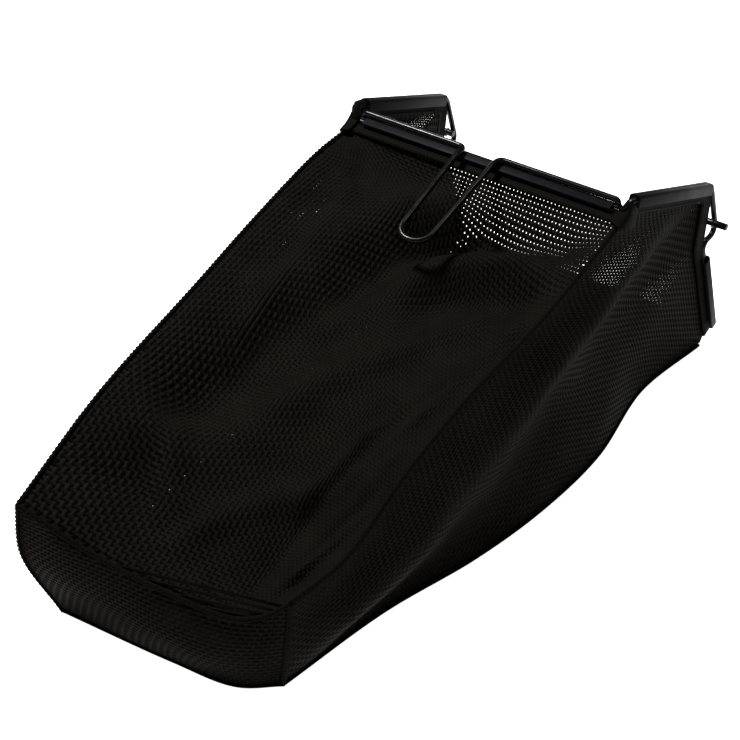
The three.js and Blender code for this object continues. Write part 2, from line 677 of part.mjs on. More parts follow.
// Side panels bulge out along a ridge that falls from the mouth to the rear floor, and the
// cloth below the ridge is hollow.
function sideSurface(side) {
  const foot = side > 0 ? footSeamRight : footSeamLeft;
  const top = side > 0 ? topSeamRight : topSeamLeft;
  const rear = side > 0 ? rearSeamRight : rearSeamLeft;
  const base = stretched(foot, top, frontEdge(side), rear);
  return (along, up) => {
    const u = insetEnd(along, BAG_LENGTH);
    const v = inset(up, lerp(MOUTH_HEIGHT, REAR_HEIGHT_RIGHT, along));
    const point = base(u, v);
    const tall = lerp(MOUTH_HEIGHT, REAR_HEIGHT_RIGHT, u);
    const ridge = lerp(RIDGE_START_SHARE, RIDGE_END_SHARE, u ** RIDGE_FALL_POWER);
    const free = freeAt(u - lapShare) * freeAt(v);
    const aboveRidge = (v - ridge) * tall;
    point.x += side * free * RIDGE_HEIGHT * bell(aboveRidge, RIDGE_WIDTH);
    point.x -= side * free * HOLLOW_DEPTH * bell(aboveRidge + HOLLOW_DROP, RIDGE_WIDTH);
    return point;
  };
}

function addSidePanels() {
  const along = [0, lapShare, ...even(SIDE_COLUMNS).slice(1)];
  const up = even(SIDE_ROWS);
  add('right_side_panel', clothSheet(sideSurface(1), along, up), meshClothMaterial);
  add('left_side_panel', clothSheet(sideSurface(-1), along, up), meshClothMaterial);
}

function addRearPanel() {
  const base = stretched(rearFootSeam, rearTopSeam, rearSeamLeft, rearSeamRight);
  const width = REAR_HALF_WIDTH_LEFT + REAR_HALF_WIDTH_RIGHT;
  const surface = (across, up) => {
    const u = inset(across, width, REAR_SEAM_GAP);
    const v = inset(up, REAR_HEIGHT_MIDDLE, REAR_SEAM_GAP);
    const point = base(u, v);
    point.y -= REAR_BULGE * Math.sin(Math.PI * u) * Math.sin(Math.PI * v);
    return point;
  };
  add('rear_panel', clothSheet(surface, even(REAR_COLUMNS), even(REAR_ROWS)), meshClothMaterial);
}

// The bottom panel lies on the floor and rises to the underside of its hem at the mouth
function addBottomPanel() {
  const hemLine = bottomRod.x - lapOffset;
  const frontFoot = straight(footSeamLeft(0), footSeamRight(0));
  const base = stretched(frontFoot, rearFootSeam, footSeamLeft, footSeamRight);
  const surface = (across, along) => {
    const u = inset(across, FRAME_WIDTH);
    const v = insetEnd(along, BAG_LENGTH);
    const point = base(u, v);
    const rise = Math.max(0, 1 - v * BAG_LENGTH / FLOOR_RISE_LENGTH);
    point.y += (hemLine - footFront.y) * rise;
    point.z += (bottomRod.y - lapShift) * rise * rise;
    return point;
  };
  const riseShare = FLOOR_RISE_LENGTH / BAG_LENGTH;
  const plainRows = Math.round((BAG_LENGTH - FLOOR_RISE_LENGTH) / FLOOR_ROW_LENGTH);
  const vs = even(3).map((t) => t * riseShare);
  for (const t of even(plainRows).slice(1)) {
    vs.push(lerp(riseShare, 1, t));
  }
  add('bottom_panel', clothSheet(surface, even(FLOOR_COLUMNS), vs), plainClothMaterial);
}

addUpperFrameRod();
addLowerFrameRod();
addHandleWire();
addHangerPins();
addChannels();
addHems();
addTopPanel();
addSidePanels();
addRearPanel();
addBottomPanel();

// The origin is the bottom centre of the whole bag
group.updateMatrixWorld(true);
const bounds = new THREE.Box3().setFromObject(group, true);
const centre = bounds.getCenter(new THREE.Vector3());
group.position.set(-centre.x, -centre.y, -bounds.min.z);

export default group;
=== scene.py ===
"""Rear grass collection bag of a walk-behind mower, dressed around its CAD frame.

The rods, snap channels, net panels, seams and hems are each made by an operator of this
add-on. Sizes of the frame and the bag are in millimetres, as in the part's own source.
Blender's own units are metres.
"""

import math

import bpy
import numpy as np
from mathutils import Matrix, Vector


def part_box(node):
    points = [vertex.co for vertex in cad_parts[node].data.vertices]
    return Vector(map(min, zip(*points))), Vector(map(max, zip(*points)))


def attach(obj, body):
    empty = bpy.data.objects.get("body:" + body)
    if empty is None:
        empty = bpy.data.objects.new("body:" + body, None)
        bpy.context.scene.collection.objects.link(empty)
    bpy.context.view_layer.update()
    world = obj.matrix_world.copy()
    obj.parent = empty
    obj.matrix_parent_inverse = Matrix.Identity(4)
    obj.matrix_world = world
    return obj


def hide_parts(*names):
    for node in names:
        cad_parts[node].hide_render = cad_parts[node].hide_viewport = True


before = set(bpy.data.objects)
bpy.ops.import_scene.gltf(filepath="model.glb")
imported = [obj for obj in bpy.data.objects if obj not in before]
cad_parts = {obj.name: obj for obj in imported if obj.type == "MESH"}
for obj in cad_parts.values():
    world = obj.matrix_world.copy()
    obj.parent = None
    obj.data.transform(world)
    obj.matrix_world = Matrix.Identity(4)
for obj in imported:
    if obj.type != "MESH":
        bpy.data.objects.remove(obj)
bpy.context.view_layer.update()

bl_info = {
    "name": "Grass collection bag",
    "version": (1, 0, 0),
    "blender": (4, 5, 0),
    "location": "3D View > Sidebar > Grass bag",
    "description": "Builds the rods, snap channels, net cloth and seams of a mower's collection bag",
    "category": "Object",
}

MM = 0.001
BODY = "root"

# The frame's sizes, in millimetres
FRAME_WIDTH = 330.0
MOUTH_HEIGHT = 273.0
ROD_DIAMETER = 6.4
CROSS_ROD_SETBACK = 6.0
CORNER_RISE = 14.0
CORNER_INSET = 6.0
CORNER_BEND = 8.0
SLANT_REACH = 177.0
SLANT_DROP = 75.0
NOSE_REACH = 22.0
NOSE_DROP = 67.0
THROAT_DEPTH = 31.0
THROAT_RISE = 1.0
POST_LEAN = 30.0
BOTTOM_ROD_HEIGHT = 8.6
POST_TOP_DROP = 22.0
SLANT_BEND = 13.0
NOSE_BEND = 11.0
THROAT_BEND = 8.0
BOTTOM_BEND = 14.0
HANDLE_RISE = 11.0
HANDLE_AHEAD = 3.0
HANDLE_BEND = 7.0
LOOP_OFFSET = -7.0
LOOP_ROOT_WIDTH = 42.0
LOOP_TIP_WIDTH = 34.0
LOOP_LENGTH = 132.0
LOOP_DROP = 34.0
LOOP_KNEE_BEND = 24.0
PIN_DIAMETER = 7.6
PIN_DROP = 48.0

# Snap channels
CHANNEL_WIDTH = 13.2
CHANNEL_DEPTH = 12.0
CHANNEL_WALL = 1.7
CHANNEL_LIP = 1.6
CHANNEL_END_MARGIN = 18.0
SLANT_CHANNEL_MARGIN = 9.0
POST_CHANNEL_BASE = 12.0

# Hems and cloth
HEM_WIDTH = 13.0
HEM_THICKNESS = 2.2
HEM_LAP = 3.0
HEM_THROAT_SETBACK = 3.0
HEM_CORNER_MARGIN = 13.0
CLOTH_THICKNESS = 1.6
LAP_GAP = 0.4
CONTACT_GAP = 0.3
SEAM_GAP = 2.4
BAG_LENGTH = 540.0
FOOT_SETBACK = 11.0
FLOOR_RISE_LENGTH = 45.0

# Closed rear of the bag, lower and narrower on the right
REAR_HALF_WIDTH_LEFT = 158.0
REAR_HALF_WIDTH_RIGHT = 112.0
REAR_HEIGHT_LEFT = 124.0
REAR_HEIGHT_RIGHT = 103.0
REAR_HEIGHT_MIDDLE = 84.0
REAR_OVERHANG = 16.0
REAR_SKEW = 56.0
REAR_TUCK_LEFT = 28.0
REAR_TUCK_RIGHT = 10.0
REAR_LEAN_LEFT = 17.0
REAR_LEAN_RIGHT = -2.0
REAR_BULGE = 7.0
REAR_CORNER_BULGE = 8.0
REAR_CORNER_UP = 4.0
REAR_FOOT_BACK = 6.0
REAR_SEAM_KNEE = 0.55

# Folds. The side ridge's height is a share of the panel's, at the mouth and at the rear.
RIDGE_HEIGHT = 17.0
RIDGE_WIDTH = 34.0
RIDGE_START_SHARE = 0.7
RIDGE_END_SHARE = 0.36
RIDGE_FALL_POWER = 2.2
HOLLOW_DEPTH = 9.0
HOLLOW_DROP = 65.0
TOP_SAG = 8.0
MOUTH_FALL = 14.0
MOUTH_FALL_SHARE = 0.09
MOUTH_FALL_POWER = 0.75
EDGE_SHARE = 0.12
CREASE_WIDTH = 22.0
SWELL_SHARE = 0.3
SWELL_PLACE = 2 * CREASE_WIDTH
TOP_SAG_POWER = 0.7

# Fine unevenness of a panel: the height and length of its waves, and the seed of its draws
TOP_RIPPLE = (1.0, 60.0, 11)
SIDE_RIPPLE = (1.4, 80.0, 5)
REAR_RIPPLE = (1.2, 60.0, 3)
RIPPLE_WAVES = 9
RIPPLE_SPREAD = (0.7, 1.6)

# Creases of the top panel: a depth, and a line of (share of the width, share of the length)
MOUTH_TROUGH = ((1, 0.02), (0.88, 0.045), (0.79, 0.055), (0.59, 0.085), (0.43, 0.175))
TOP_CREASES = (
    (14.0, (*MOUTH_TROUGH, (0.32, 0.43), (0.23, 0.585), (0.15, 0.72))),
    (8.0, MOUTH_TROUGH),
    (8.0, (*MOUTH_TROUGH, (0.34, 0.36))),
    (11.0, ((0.97, 0.15), (0.82, 0.205), (0.68, 0.235), (0.47, 0.35), (0.33, 0.57), (0.23, 0.7))),
    (6.0, ((0.74, 0.55), (0.66, 0.74), (0.62, 0.93))),
    (6.0, ((0.93, 0.66), (0.84, 0.8), (0.8, 0.95))),
    (6.0, ((0.18, 0.86), (0.32, 0.92), (0.44, 0.97))),
    (4.0, ((0.06, 0.12), (0.1, 0.4), (0.05, 0.7))),
)

# Soft crests of the top panel: a height, a width, and a line of the same shares
TOP_CRESTS = (
    (4.0, 12.0, ((0.07, 0.02), (0.03, 0.2), (0.04, 0.54), (0.03, 0.73))),
    (3.5, 10.0, ((0.09, 0.12), (0.1, 0.31), (0.1, 0.52))),
    (4.0, 11.0, ((0.15, 0.2), (0.17, 0.455), (0.18, 0.62))),
    (5.0, 16.0, ((0.81, 0.1), (0.69, 0.175), (0.51, 0.27), (0.38, 0.4), (0.27, 0.6))),
    (4.5, 14.0, ((0.8, 0.27), (0.68, 0.36), (0.48, 0.52), (0.36, 0.655))),
    (5.0, 12.0, ((0.95, 0.26), (0.9, 0.45), (0.78, 0.595), (0.7, 0.7))),
    (4.0, 11.0, ((0.86, 0.4), (0.68, 0.585), (0.59, 0.75))),
    (5.0, 13.0, ((0.34, 0.915), (0.46, 0.8), (0.59, 0.725))),
    (4.0, 11.0, ((0.21, 0.78), (0.27, 0.89))),
    (5.0, 12.0, ((0.78, 0.88), (0.84, 0.78), (0.93, 0.7))),
)

ROD_RADIUS = ROD_DIAMETER / 2
SIDE_X = FRAME_WIDTH / 2
HANDLE_Y = HANDLE_AHEAD - CROSS_ROD_SETBACK
HANDLE_Z = MOUTH_HEIGHT + HANDLE_RISE
LOOP_ROOT_SAG = 1.1
WIRE_END_SAG = 0.8
WIRE_WELD_AXIS = (0, 0.2, 1)
SIDES = (("left", -1), ("right", 1))

# How far from the mouth's top corners the slanted channels start: the right one has slid back
CHANNEL_STARTS = {"left": 20.0, "right": 4.0}

# The rear's top seam, from left to right: (share of the half width, share of the skew, share
# of the rise to that corner). The rear's foot: (share of the right foot's x, share of the way).
REAR_TOP_STATIONS = ((-0.5, 0.25, 0.3), (0, 0.39, 0), (0.58, 0.57, -0.26), (0.82, 0.77, 0.16))
REAR_FOOT_STATIONS = ((0, 0.3), (0.67, 0.5))

# How finely rods, beads, pins and channels are made, in steps, sides and shares. An arc takes
# up at most its reach of the shorter stretch beside it.
ARC_STEPS = 10
HEM_ARC_STEPS = 5
ARC_REACH = 0.49
SPIN_ARC_STEPS = 2
SPIN_STEPS_LEAST = 3
SPIN_STEP_DEGREES = 9
SHORT_STRETCH = 0.1
SMOOTH_ANGLE = math.radians(32)
TOUCH = 0.01 * MM
BEAD_STEPS = 28
BEAD_SIDES = 8
BEAD_LUMPS = 9
BEAD_LUMP_SHARE = 0.12
BEAD_TWIST = 0.3
PIN_SIDES = 28
PIN_BEAD_SHARE = 0.7
BACK_STEPS = 5
BROKEN_EDGE = 0.3
BROKEN_EDGE_ANGLE = math.radians(50)

# Net: how finely its surfaces are measured, how near a seam a strand may end, in pitches, how
# far strands widen where the cloth is stretched, and how far crossing strands stand apart, as
# a share of their thickness: the coat fuses them
SURFACE_SAMPLES = 241
MEASURED_ROWS = (0.1, 0.3, 0.5, 0.7, 0.9)
SPAN_SAMPLES = 25
PROBE_STEP = 0.004
STRAND_MARGIN = 0.2
STRETCH_LIMITS = (0.85, 1.8)
CROSSING_HEIGHT = 0.45

# Seams, hems and stitches. A stitch's station is (share of its length, share of its width, height).
SEAM_STEPS = 90
SHORT_SEAM_STEPS = 30
FOOT_SEAM_WIDER = 1.15
FOOT_SEAM_THINNER = 0.8
HEM_STEPS = 40
SIDE_HEM_STEPS = 70
HEM_CORNERS = 14
HEM_SQUARENESS = 5
HEM_STITCH_SHARE = 0.36
STITCH_LENGTH = 3.2
STITCH_WIDTH = 0.9
STITCH_PROUD = 0.35
STITCH_SIDES = 6
STITCH_STATIONS = ((-0.5, 0.25, -0.3), (-0.32, 0.9, 0.0), (0.32, 0.9, 0.0), (0.5, 0.25, -0.3))
FLOOR_ROWS = 120
FLOOR_COLUMNS = 60

# Ribs of the tape and the close cloth, and what makes a wave texture's bands a rib apart
TAPE_RIB = 0.9 * MM
CLOTH_RIB = 1.2 * MM
RIB_SCALE = 0.31

# The sleeve round a top corner of the frame, and the gusset behind it: the gusset's edge along
# the rod and its edge on the bag, from the top hem to the side hem, as (sideways, forward, up)
CORNER_WRAP_START = 156.0
CORNER_WRAP_MARGIN = 3.0
SLEEVE_RADIUS = 4.7
SLEEVE_WALL = 1.2
SLEEVE_OUTWARD = (0.7, -0.5, -0.5)
SLEEVE_SAMPLES = 900
SLEEVE_STRIDE = 12
SLEEVE_SIDES = 16
GUSSET_COLUMNS = 25
GUSSET_ROWS = 17
GUSSET_CLOTH = 20
GUSSET_ROD_EDGE = ((155.0, -9.6, 274.6), (162.0, -8.8, 275.6), (165.8, -3.0, 281.5), (165.8, 11.0, 279.6))
GUSSET_BAG_EDGE = ((155.0, -25.0, 271.5), (165.5, -27.5, 268.6), (168.5, -14.0, 261.5), (166.8, 1.5, 255.0))

# The stage: each square soft lamp's place in metres, its width in metres and its power in watts
LAMPS = (
    ("key_softbox", (-1.2, 0.2, 2.2), 0.35, 108),
    ("high_softbox", (0.9, 0.9, 2.6), 0.3, 13),
    ("side_fill", (1.9, -0.9, 1.4), 0.5, 1.5),
)
SKY_STRENGTH = 0.1
FLOOR_DROP = 0.5

# The camera, found by matching the frame's corners, noses and posts to the photograph
VIEW_AZIMUTH = math.radians(34.55)
VIEW_ELEVATION = math.radians(36.16)
VIEW_DISTANCE = 2.332
VIEW_TARGET = Vector((-0.0264, 0.0068, 0.1008))
LENS_MM = 111.9
SENSOR_MM = 36.0


def vec(*values):
    return np.array(values, float)


def unit(v):
    return v / np.linalg.norm(v)


def units(rows):
    return rows / np.linalg.norm(rows, axis=1)[:, None]


def lerp(a, b, t):
    return a + (b - a) * t


def run_of(path):
    """The distance along a path at each of its points."""
    return np.concatenate([[0], np.cumsum(np.linalg.norm(np.diff(path, axis=0), axis=1))])


def bell(distance, width):
    """A hump of height 1 at zero that falls away over the width."""
    return np.exp(-((distance / width) ** 2))


def srgb(hex_colour):
    """A hex sRGB colour as linear red, green, blue and alpha."""

    def linear(channel):
        c = channel / 255
        return c / 12.92 if c <= 0.04045 else ((c + 0.055) / 1.055) ** 2.4

    return tuple(linear((hex_colour >> shift) & 255) for shift in (16, 8, 0)) + (1.0,)


# The frame's side profile as (forward, up), from the mouth's top corner
CORNER = vec(0, MOUTH_HEIGHT + CORNER_RISE)
SLANT_END = CORNER + vec(SLANT_REACH, -SLANT_DROP)
NOSE_TIP = SLANT_END + vec(NOSE_REACH, -NOSE_DROP)
THROAT = NOSE_TIP + vec(-THROAT_DEPTH, THROAT_RISE)
BOTTOM_ROD = vec(SLANT_END[0] + POST_LEAN + CROSS_ROD_SETBACK, BOTTOM_ROD_HEIGHT)
POST_TOP = lerp(THROAT, BOTTOM_ROD, POST_TOP_DROP / (THROAT[1] - BOTTOM_ROD[1]))
CROSS_Y = -CROSS_ROD_SETBACK
CHANNEL_HALF_LENGTH = SIDE_X - CHANNEL_END_MARGIN
CHANNEL_BACK = -(ROD_RADIUS + CONTACT_GAP + CHANNEL_WALL)
CHANNEL_FRONT = CHANNEL_BACK + CHANNEL_DEPTH
TOP_DIRECTION = unit(vec(0, -1, -(MOUTH_HEIGHT - REAR_HEIGHT_LEFT) / BAG_LENGTH))
TOP_OUTWARD = vec(0, TOP_DIRECTION[2], -TOP_DIRECTION[1])
HEM_CENTRE_OFFSET = ROD_RADIUS + CONTACT_GAP + HEM_WIDTH / 2
LAP_OFFSET = HEM_CENTRE_OFFSET + HEM_WIDTH / 2 - HEM_LAP
LAP_SHIFT = (HEM_THICKNESS + CLOTH_THICKNESS) / 2 + LAP_GAP


def along_line(start, end, distance):
    return start + unit(end - start) * distance


def inward(point, start, end, distance):
    """Moves a profile point off a line of the frame, toward the inside of the bag."""
    direction = unit(end - start)
    return point + vec(direction[1], -direction[0]) * distance


def profile_point(point, x):
    return vec(x, point[0], point[1])


PIN_PLACE = inward(
    along_line(SLANT_END, NOSE_TIP, PIN_DROP),
    SLANT_END,
    NOSE_TIP,
    ROD_RADIUS + CONTACT_GAP + PIN_DIAMETER / 2,
)


def find_shift():
    """How far the part's own corner stands from the frame's origin, from the two hanger pins."""
    left_low, left_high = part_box("left_hanger_pin")
    right_low, right_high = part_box("right_hanger_pin")
    centre = (left_low + right_high) / 2
    height = (right_low.z + right_high.z) / 2
    depth = (left_low.y + left_high.y) / 2
    return vec(centre.x / MM, depth / MM - PIN_PLACE[0], height / MM - PIN_PLACE[1])


SHIFT = find_shift()


def place(points):
    """Points in the part's millimetres as metres in the frame."""
    return (np.asarray(points, float) + SHIFT) * MM


def corner_arc(before, corner, after, radius, steps):
    """The arc that rounds a corner, limited to half of the stretches beside it."""
    back = unit(before - corner)
    ahead = unit(after - corner)
    half = math.acos(np.clip(back @ ahead, -1, 1)) / 2
    shortest = min(np.linalg.norm(before - corner), np.linalg.norm(after - corner))
    reach = min(radius / math.tan(half), shortest * ARC_REACH)
    centre = corner + unit(back + ahead) * reach / math.cos(half)
    start = corner + back * reach - centre
    end = corner + ahead * reach - centre
    turn = math.acos(np.clip(unit(start) @ unit(end), -1, 1))
    shares = np.linspace(0, 1, steps + 1)
    points = [
        centre + start * math.sin((1 - t) * turn) / math.sin(turn) + end * math.sin(t * turn) / math.sin(turn)
        for t in shares
    ]
    return points, centre, np.cross(start, end), turn


def rounded_path(points, radii, steps=ARC_STEPS):
    path = [points[0]]
    for i in range(1, len(points) - 1):
        arc = corner_arc(points[i - 1], points[i], points[i + 1], radii[i - 1], steps)
        path.extend(arc[0])
    path.append(points[-1])
    return np.array(path)


def mirrored(points):
    return [p * vec(-1, 1, 1) for p in points][::-1]


def curve_through(points):
    """A centripetal curve through the points, as a function of shares from 0 to 1."""
    points = np.array(points, float)
    ends = np.vstack([2 * points[0] - points[1], points, 2 * points[-1] - points[-2]])

    def at(t):
        scaled = np.atleast_1d(np.asarray(t, float)) * (len(points) - 1)
        index = np.clip(np.floor(scaled).astype(int), 0, len(points) - 2)
        w = (scaled - index)[:, None]
        p0, p1, p2, p3 = (ends[index + k] for k in range(4))
        d0, d1, d2 = (
            np.maximum(((b - a) ** 2).sum(1) ** 0.25, 1e-4)[:, None]
            for a, b in ((p0, p1), (p1, p2), (p2, p3))
        )
        m1 = ((p1 - p0) / d0 - (p2 - p0) / (d0 + d1) + (p2 - p1) / d1) * d1
        m2 = ((p2 - p1) / d1 - (p3 - p1) / (d1 + d2) + (p3 - p2) / d2) * d1
        cubic = 2 * p1 - 2 * p2 + m1 + m2
        square = -3 * p1 + 3 * p2 - 2 * m1 - m2
        return p1 + m1 * w + square * w**2 + cubic * w**3

    return at


def line_through(points):
    """Straight stretches between points, as a function of the share of their length."""
    points = np.array(points, float)
    run = run_of(points)

    def at(t):
        distance = np.atleast_1d(np.asarray(t, float)) * run[-1]
        return np.stack([np.interp(distance, run, points[:, k]) for k in range(3)], axis=1)

    return at


def seam_through(start, end, stations):
    """A seam from the mouth to the rear. A station is (share back, narrowing, fall), and a
    narrowing below 0 stands out."""
    between = [
        vec(lerp(start[0], end[0], narrowing), -BAG_LENGTH * back, lerp(start[2], end[2], fall))
        for back, narrowing, fall in stations
    ]
    return curve_through([start, *between, end])


TOP_LAP = vec(0, CROSS_Y, MOUTH_HEIGHT) + TOP_DIRECTION * LAP_OFFSET - TOP_OUTWARD * LAP_SHIFT
SEAM_START_X = SIDE_X - LAP_SHIFT
REAR_LEFT_Y = -BAG_LENGTH - REAR_OVERHANG
REAR_RIGHT_Y = REAR_LEFT_Y + REAR_SKEW

TOP_SEAM_RIGHT = seam_through(
    vec(SEAM_START_X, TOP_LAP[1], TOP_LAP[2]),
    vec(REAR_HALF_WIDTH_RIGHT, REAR_RIGHT_Y, REAR_HEIGHT_RIGHT),
    ((0.265, 0.2, 0.272), (0.48, 0.36, 0.42), (0.64, 0.54, 0.633), (0.8, 0.74, 0.93)),
)
TOP_SEAM_LEFT = seam_through(
    vec(-SEAM_START_X, TOP_LAP[1], TOP_LAP[2]),
    vec(-REAR_HALF_WIDTH_LEFT, REAR_LEFT_Y, REAR_HEIGHT_LEFT + REAR_CORNER_UP),
    ((0.12, -1.2, 0.062), (0.3, -1.7, 0.232), (0.5, -1.5, 0.43), (0.78, -1.1, 0.695)),
)
FOOT_FRONT = vec(SEAM_START_X, BOTTOM_ROD[0] - LAP_OFFSET - FOOT_SETBACK, 0)
REAR_FOOT_LEFT = vec(REAR_TUCK_LEFT - REAR_HALF_WIDTH_LEFT, REAR_LEFT_Y + REAR_LEAN_LEFT, 0)
REAR_FOOT_RIGHT = vec(REAR_HALF_WIDTH_RIGHT - REAR_TUCK_RIGHT, REAR_RIGHT_Y + REAR_LEAN_RIGHT, 0)
FOOT_SEAM_RIGHT = seam_through(
    FOOT_FRONT,
    REAR_FOOT_RIGHT,
    ((-0.15, 0.19, 0), (0.09, -0.12, 0), (0.29, -0.07, 0), (0.47, 0.18, 0), (0.68, 0.67, 0)),
)
FOOT_SEAM_LEFT = seam_through(
    FOOT_FRONT * vec(-1, 1, 1),
    REAR_FOOT_LEFT,
    ((-0.1, 0.1, 0), (0.25, -0.08, 0), (0.7, 0.1, 0)),
)


def rear_top_point(sideways, back, rise):
    """A point of the rear's top seam, between its middle and the corner on that side."""
    left = (REAR_HALF_WIDTH_LEFT, REAR_HEIGHT_LEFT)
    right = (REAR_HALF_WIDTH_RIGHT, REAR_HEIGHT_RIGHT)
    width, height = left if sideways < 0 else right
    return vec(width * sideways, REAR_LEFT_Y + REAR_SKEW * back, lerp(REAR_HEIGHT_MIDDLE, height, rise))


REAR_TOP_SEAM = curve_through(
    [TOP_SEAM_LEFT(1)[0], *(rear_top_point(*s) for s in REAR_TOP_STATIONS), TOP_SEAM_RIGHT(1)[0]]
)
REAR_FOOT_SEAM = curve_through(
    [
        REAR_FOOT_LEFT,
        *(
            vec(REAR_FOOT_RIGHT[0] * x, lerp(REAR_FOOT_LEFT[1], REAR_FOOT_RIGHT[1], way) - REAR_FOOT_BACK, 0)
            for x, way in REAR_FOOT_STATIONS
        ),
        REAR_FOOT_RIGHT,
    ]
)
REAR_SEAM_LEFT = curve_through(
    [
        REAR_FOOT_LEFT,
        vec(-REAR_HALF_WIDTH_LEFT, REAR_LEFT_Y, REAR_HEIGHT_LEFT * REAR_SEAM_KNEE),
        TOP_SEAM_LEFT(1)[0],
    ]
)
REAR_SEAM_RIGHT = curve_through(
    [
        REAR_FOOT_RIGHT,
        vec(
            lerp(REAR_FOOT_RIGHT[0], REAR_HALF_WIDTH_RIGHT, 0.5) + REAR_CORNER_BULGE / 2,
            lerp(REAR_FOOT_RIGHT[1], REAR_RIGHT_Y, 0.5) - REAR_CORNER_BULGE / 2,
            REAR_HEIGHT_RIGHT * 0.5,
        ),
        TOP_SEAM_RIGHT(1)[0],
    ]
)


def stretched(low, high, start, end):
    """A surface stretched between four edge curves, each a function of shares."""
    c00, c10, c01, c11 = low(0), low(1), high(0), high(1)

    def at(u, v):
        column, row = u[:, None], v[:, None]
        point = low(u) * (1 - row) + high(u) * row
        point = point + start(v) * (1 - column) + end(v) * column
        point = point - c00 * (1 - column) * (1 - row) - c10 * column * (1 - row)
        return point - c01 * (1 - column) * row - c11 * column * row

    return at


def inset(t, span, gap=SEAM_GAP):
    return lerp(gap / span, 1 - gap / span, t)


def inset_end(t, span):
    return t * (1 - SEAM_GAP / span)


def free_at(t):
    """How free a sheet is to fold: 0 at its sewn edges, rising to 1 over the edge share."""
    return np.clip(t / EDGE_SHARE, 0, 1) * np.clip((1 - t) / EDGE_SHARE, 0, 1)


def crease_distance(line, u, v):
    """The distance in plan from points of the top panel to a crease, in millimetres."""
    points = np.stack([u * FRAME_WIDTH, v * BAG_LENGTH], axis=1)
    corners = np.array(line) * vec(FRAME_WIDTH, BAG_LENGTH)
    best = np.full(len(points), np.inf)
    for start, end in zip(corners[:-1], corners[1:]):
        run = end - start
        share = np.clip((points - start) @ run / (run @ run), 0, 1)
        best = np.minimum(best, np.linalg.norm(points - start - share[:, None] * run, axis=1))
    return best


def ripple(points, height, length, seed):
    """Fine unevenness of handled cloth, as a sum of slanted waves of about that length."""
    rng = np.random.default_rng(seed)
    total = np.zeros(len(points))
    for _ in range(RIPPLE_WAVES):
        direction = unit(rng.normal(size=3))
        wave = length * rng.uniform(*RIPPLE_SPREAD)
        total += np.sin(points @ direction * 2 * math.pi / wave + rng.uniform(0, 2 * math.pi))
    return height * total / math.sqrt(RIPPLE_WAVES)


TOP_BASE = stretched(
    line_through([TOP_SEAM_LEFT(0)[0], TOP_SEAM_RIGHT(0)[0]]),
    REAR_TOP_SEAM,
    TOP_SEAM_LEFT,
    TOP_SEAM_RIGHT,
)


def top_surface(along, across):
    u = inset(across, FRAME_WIDTH)
    v = inset_end(along, BAG_LENGTH)
    point = TOP_BASE(u, v)
    free = free_at(u) * free_at(v)
    point[:, 2] -= TOP_SAG * np.sin(math.pi * u) * np.sin(math.pi * np.clip(v, 0, 1) ** TOP_SAG_POWER)
    hung = np.clip(v, 0, 1) / MOUTH_FALL_SHARE
    hung = hung * np.exp(1 - hung)
    across_fall = np.sin(math.pi * np.clip(u, 0, 1)) ** MOUTH_FALL_POWER
    point[:, 2] -= MOUTH_FALL * across_fall * hung
    for depth, line in TOP_CREASES:
        distance = crease_distance(line, u, v)
        point[:, 2] -= free * depth * bell(distance, CREASE_WIDTH)
        point[:, 2] += free * depth * SWELL_SHARE * bell(distance - SWELL_PLACE, CREASE_WIDTH)
    for height, width, line in TOP_CRESTS:
        point[:, 2] += free * height * bell(crease_distance(line, u, v), width)
    point[:, 2] += free * ripple(point, *TOP_RIPPLE)
    return point


def side_hem_path(side):
    """The middle line of a side hem: under the slanted rod, across the throat, down the post."""
    line = [
        inward(along_line(CORNER, SLANT_END, HEM_CORNER_MARGIN), CORNER, SLANT_END, HEM_CENTRE_OFFSET),
        inward(along_line(SLANT_END, CORNER, SLANT_CHANNEL_MARGIN), CORNER, SLANT_END, HEM_CENTRE_OFFSET),
        vec(THROAT[0] - ROD_RADIUS - HEM_THROAT_SETBACK - HEM_WIDTH / 2, THROAT[1]),
        inward(along_line(POST_TOP, BOTTOM_ROD, HEM_WIDTH), THROAT, BOTTOM_ROD, HEM_CENTRE_OFFSET),
        inward(along_line(BOTTOM_ROD, POST_TOP, ROD_DIAMETER), THROAT, BOTTOM_ROD, HEM_CENTRE_OFFSET),
    ]
    points = [profile_point(p, side * SIDE_X) for p in line]
    return rounded_path(points, [HEM_WIDTH, HEM_WIDTH * 2, HEM_WIDTH * 2], HEM_ARC_STEPS)


def front_edge(side):
    """The front edge of a side panel, from the floor up, along the inner edge of its hem."""
    path = side_hem_path(side)
    edge = []
    for i, point in enumerate(path):
        before = path[max(i - 1, 0)][1:]
        after = path[min(i + 1, len(path) - 1)][1:]
        moved = inward(point[1:], before, after, LAP_OFFSET - HEM_CENTRE_OFFSET)
        edge.append(profile_point(moved, side * (SIDE_X - LAP_SHIFT)))
    foot = FOOT_SEAM_RIGHT(0)[0] if side > 0 else FOOT_SEAM_LEFT(0)[0]
    top = TOP_SEAM_RIGHT(0)[0] if side > 0 else TOP_SEAM_LEFT(0)[0]
    return line_through([foot, *edge[::-1], top])


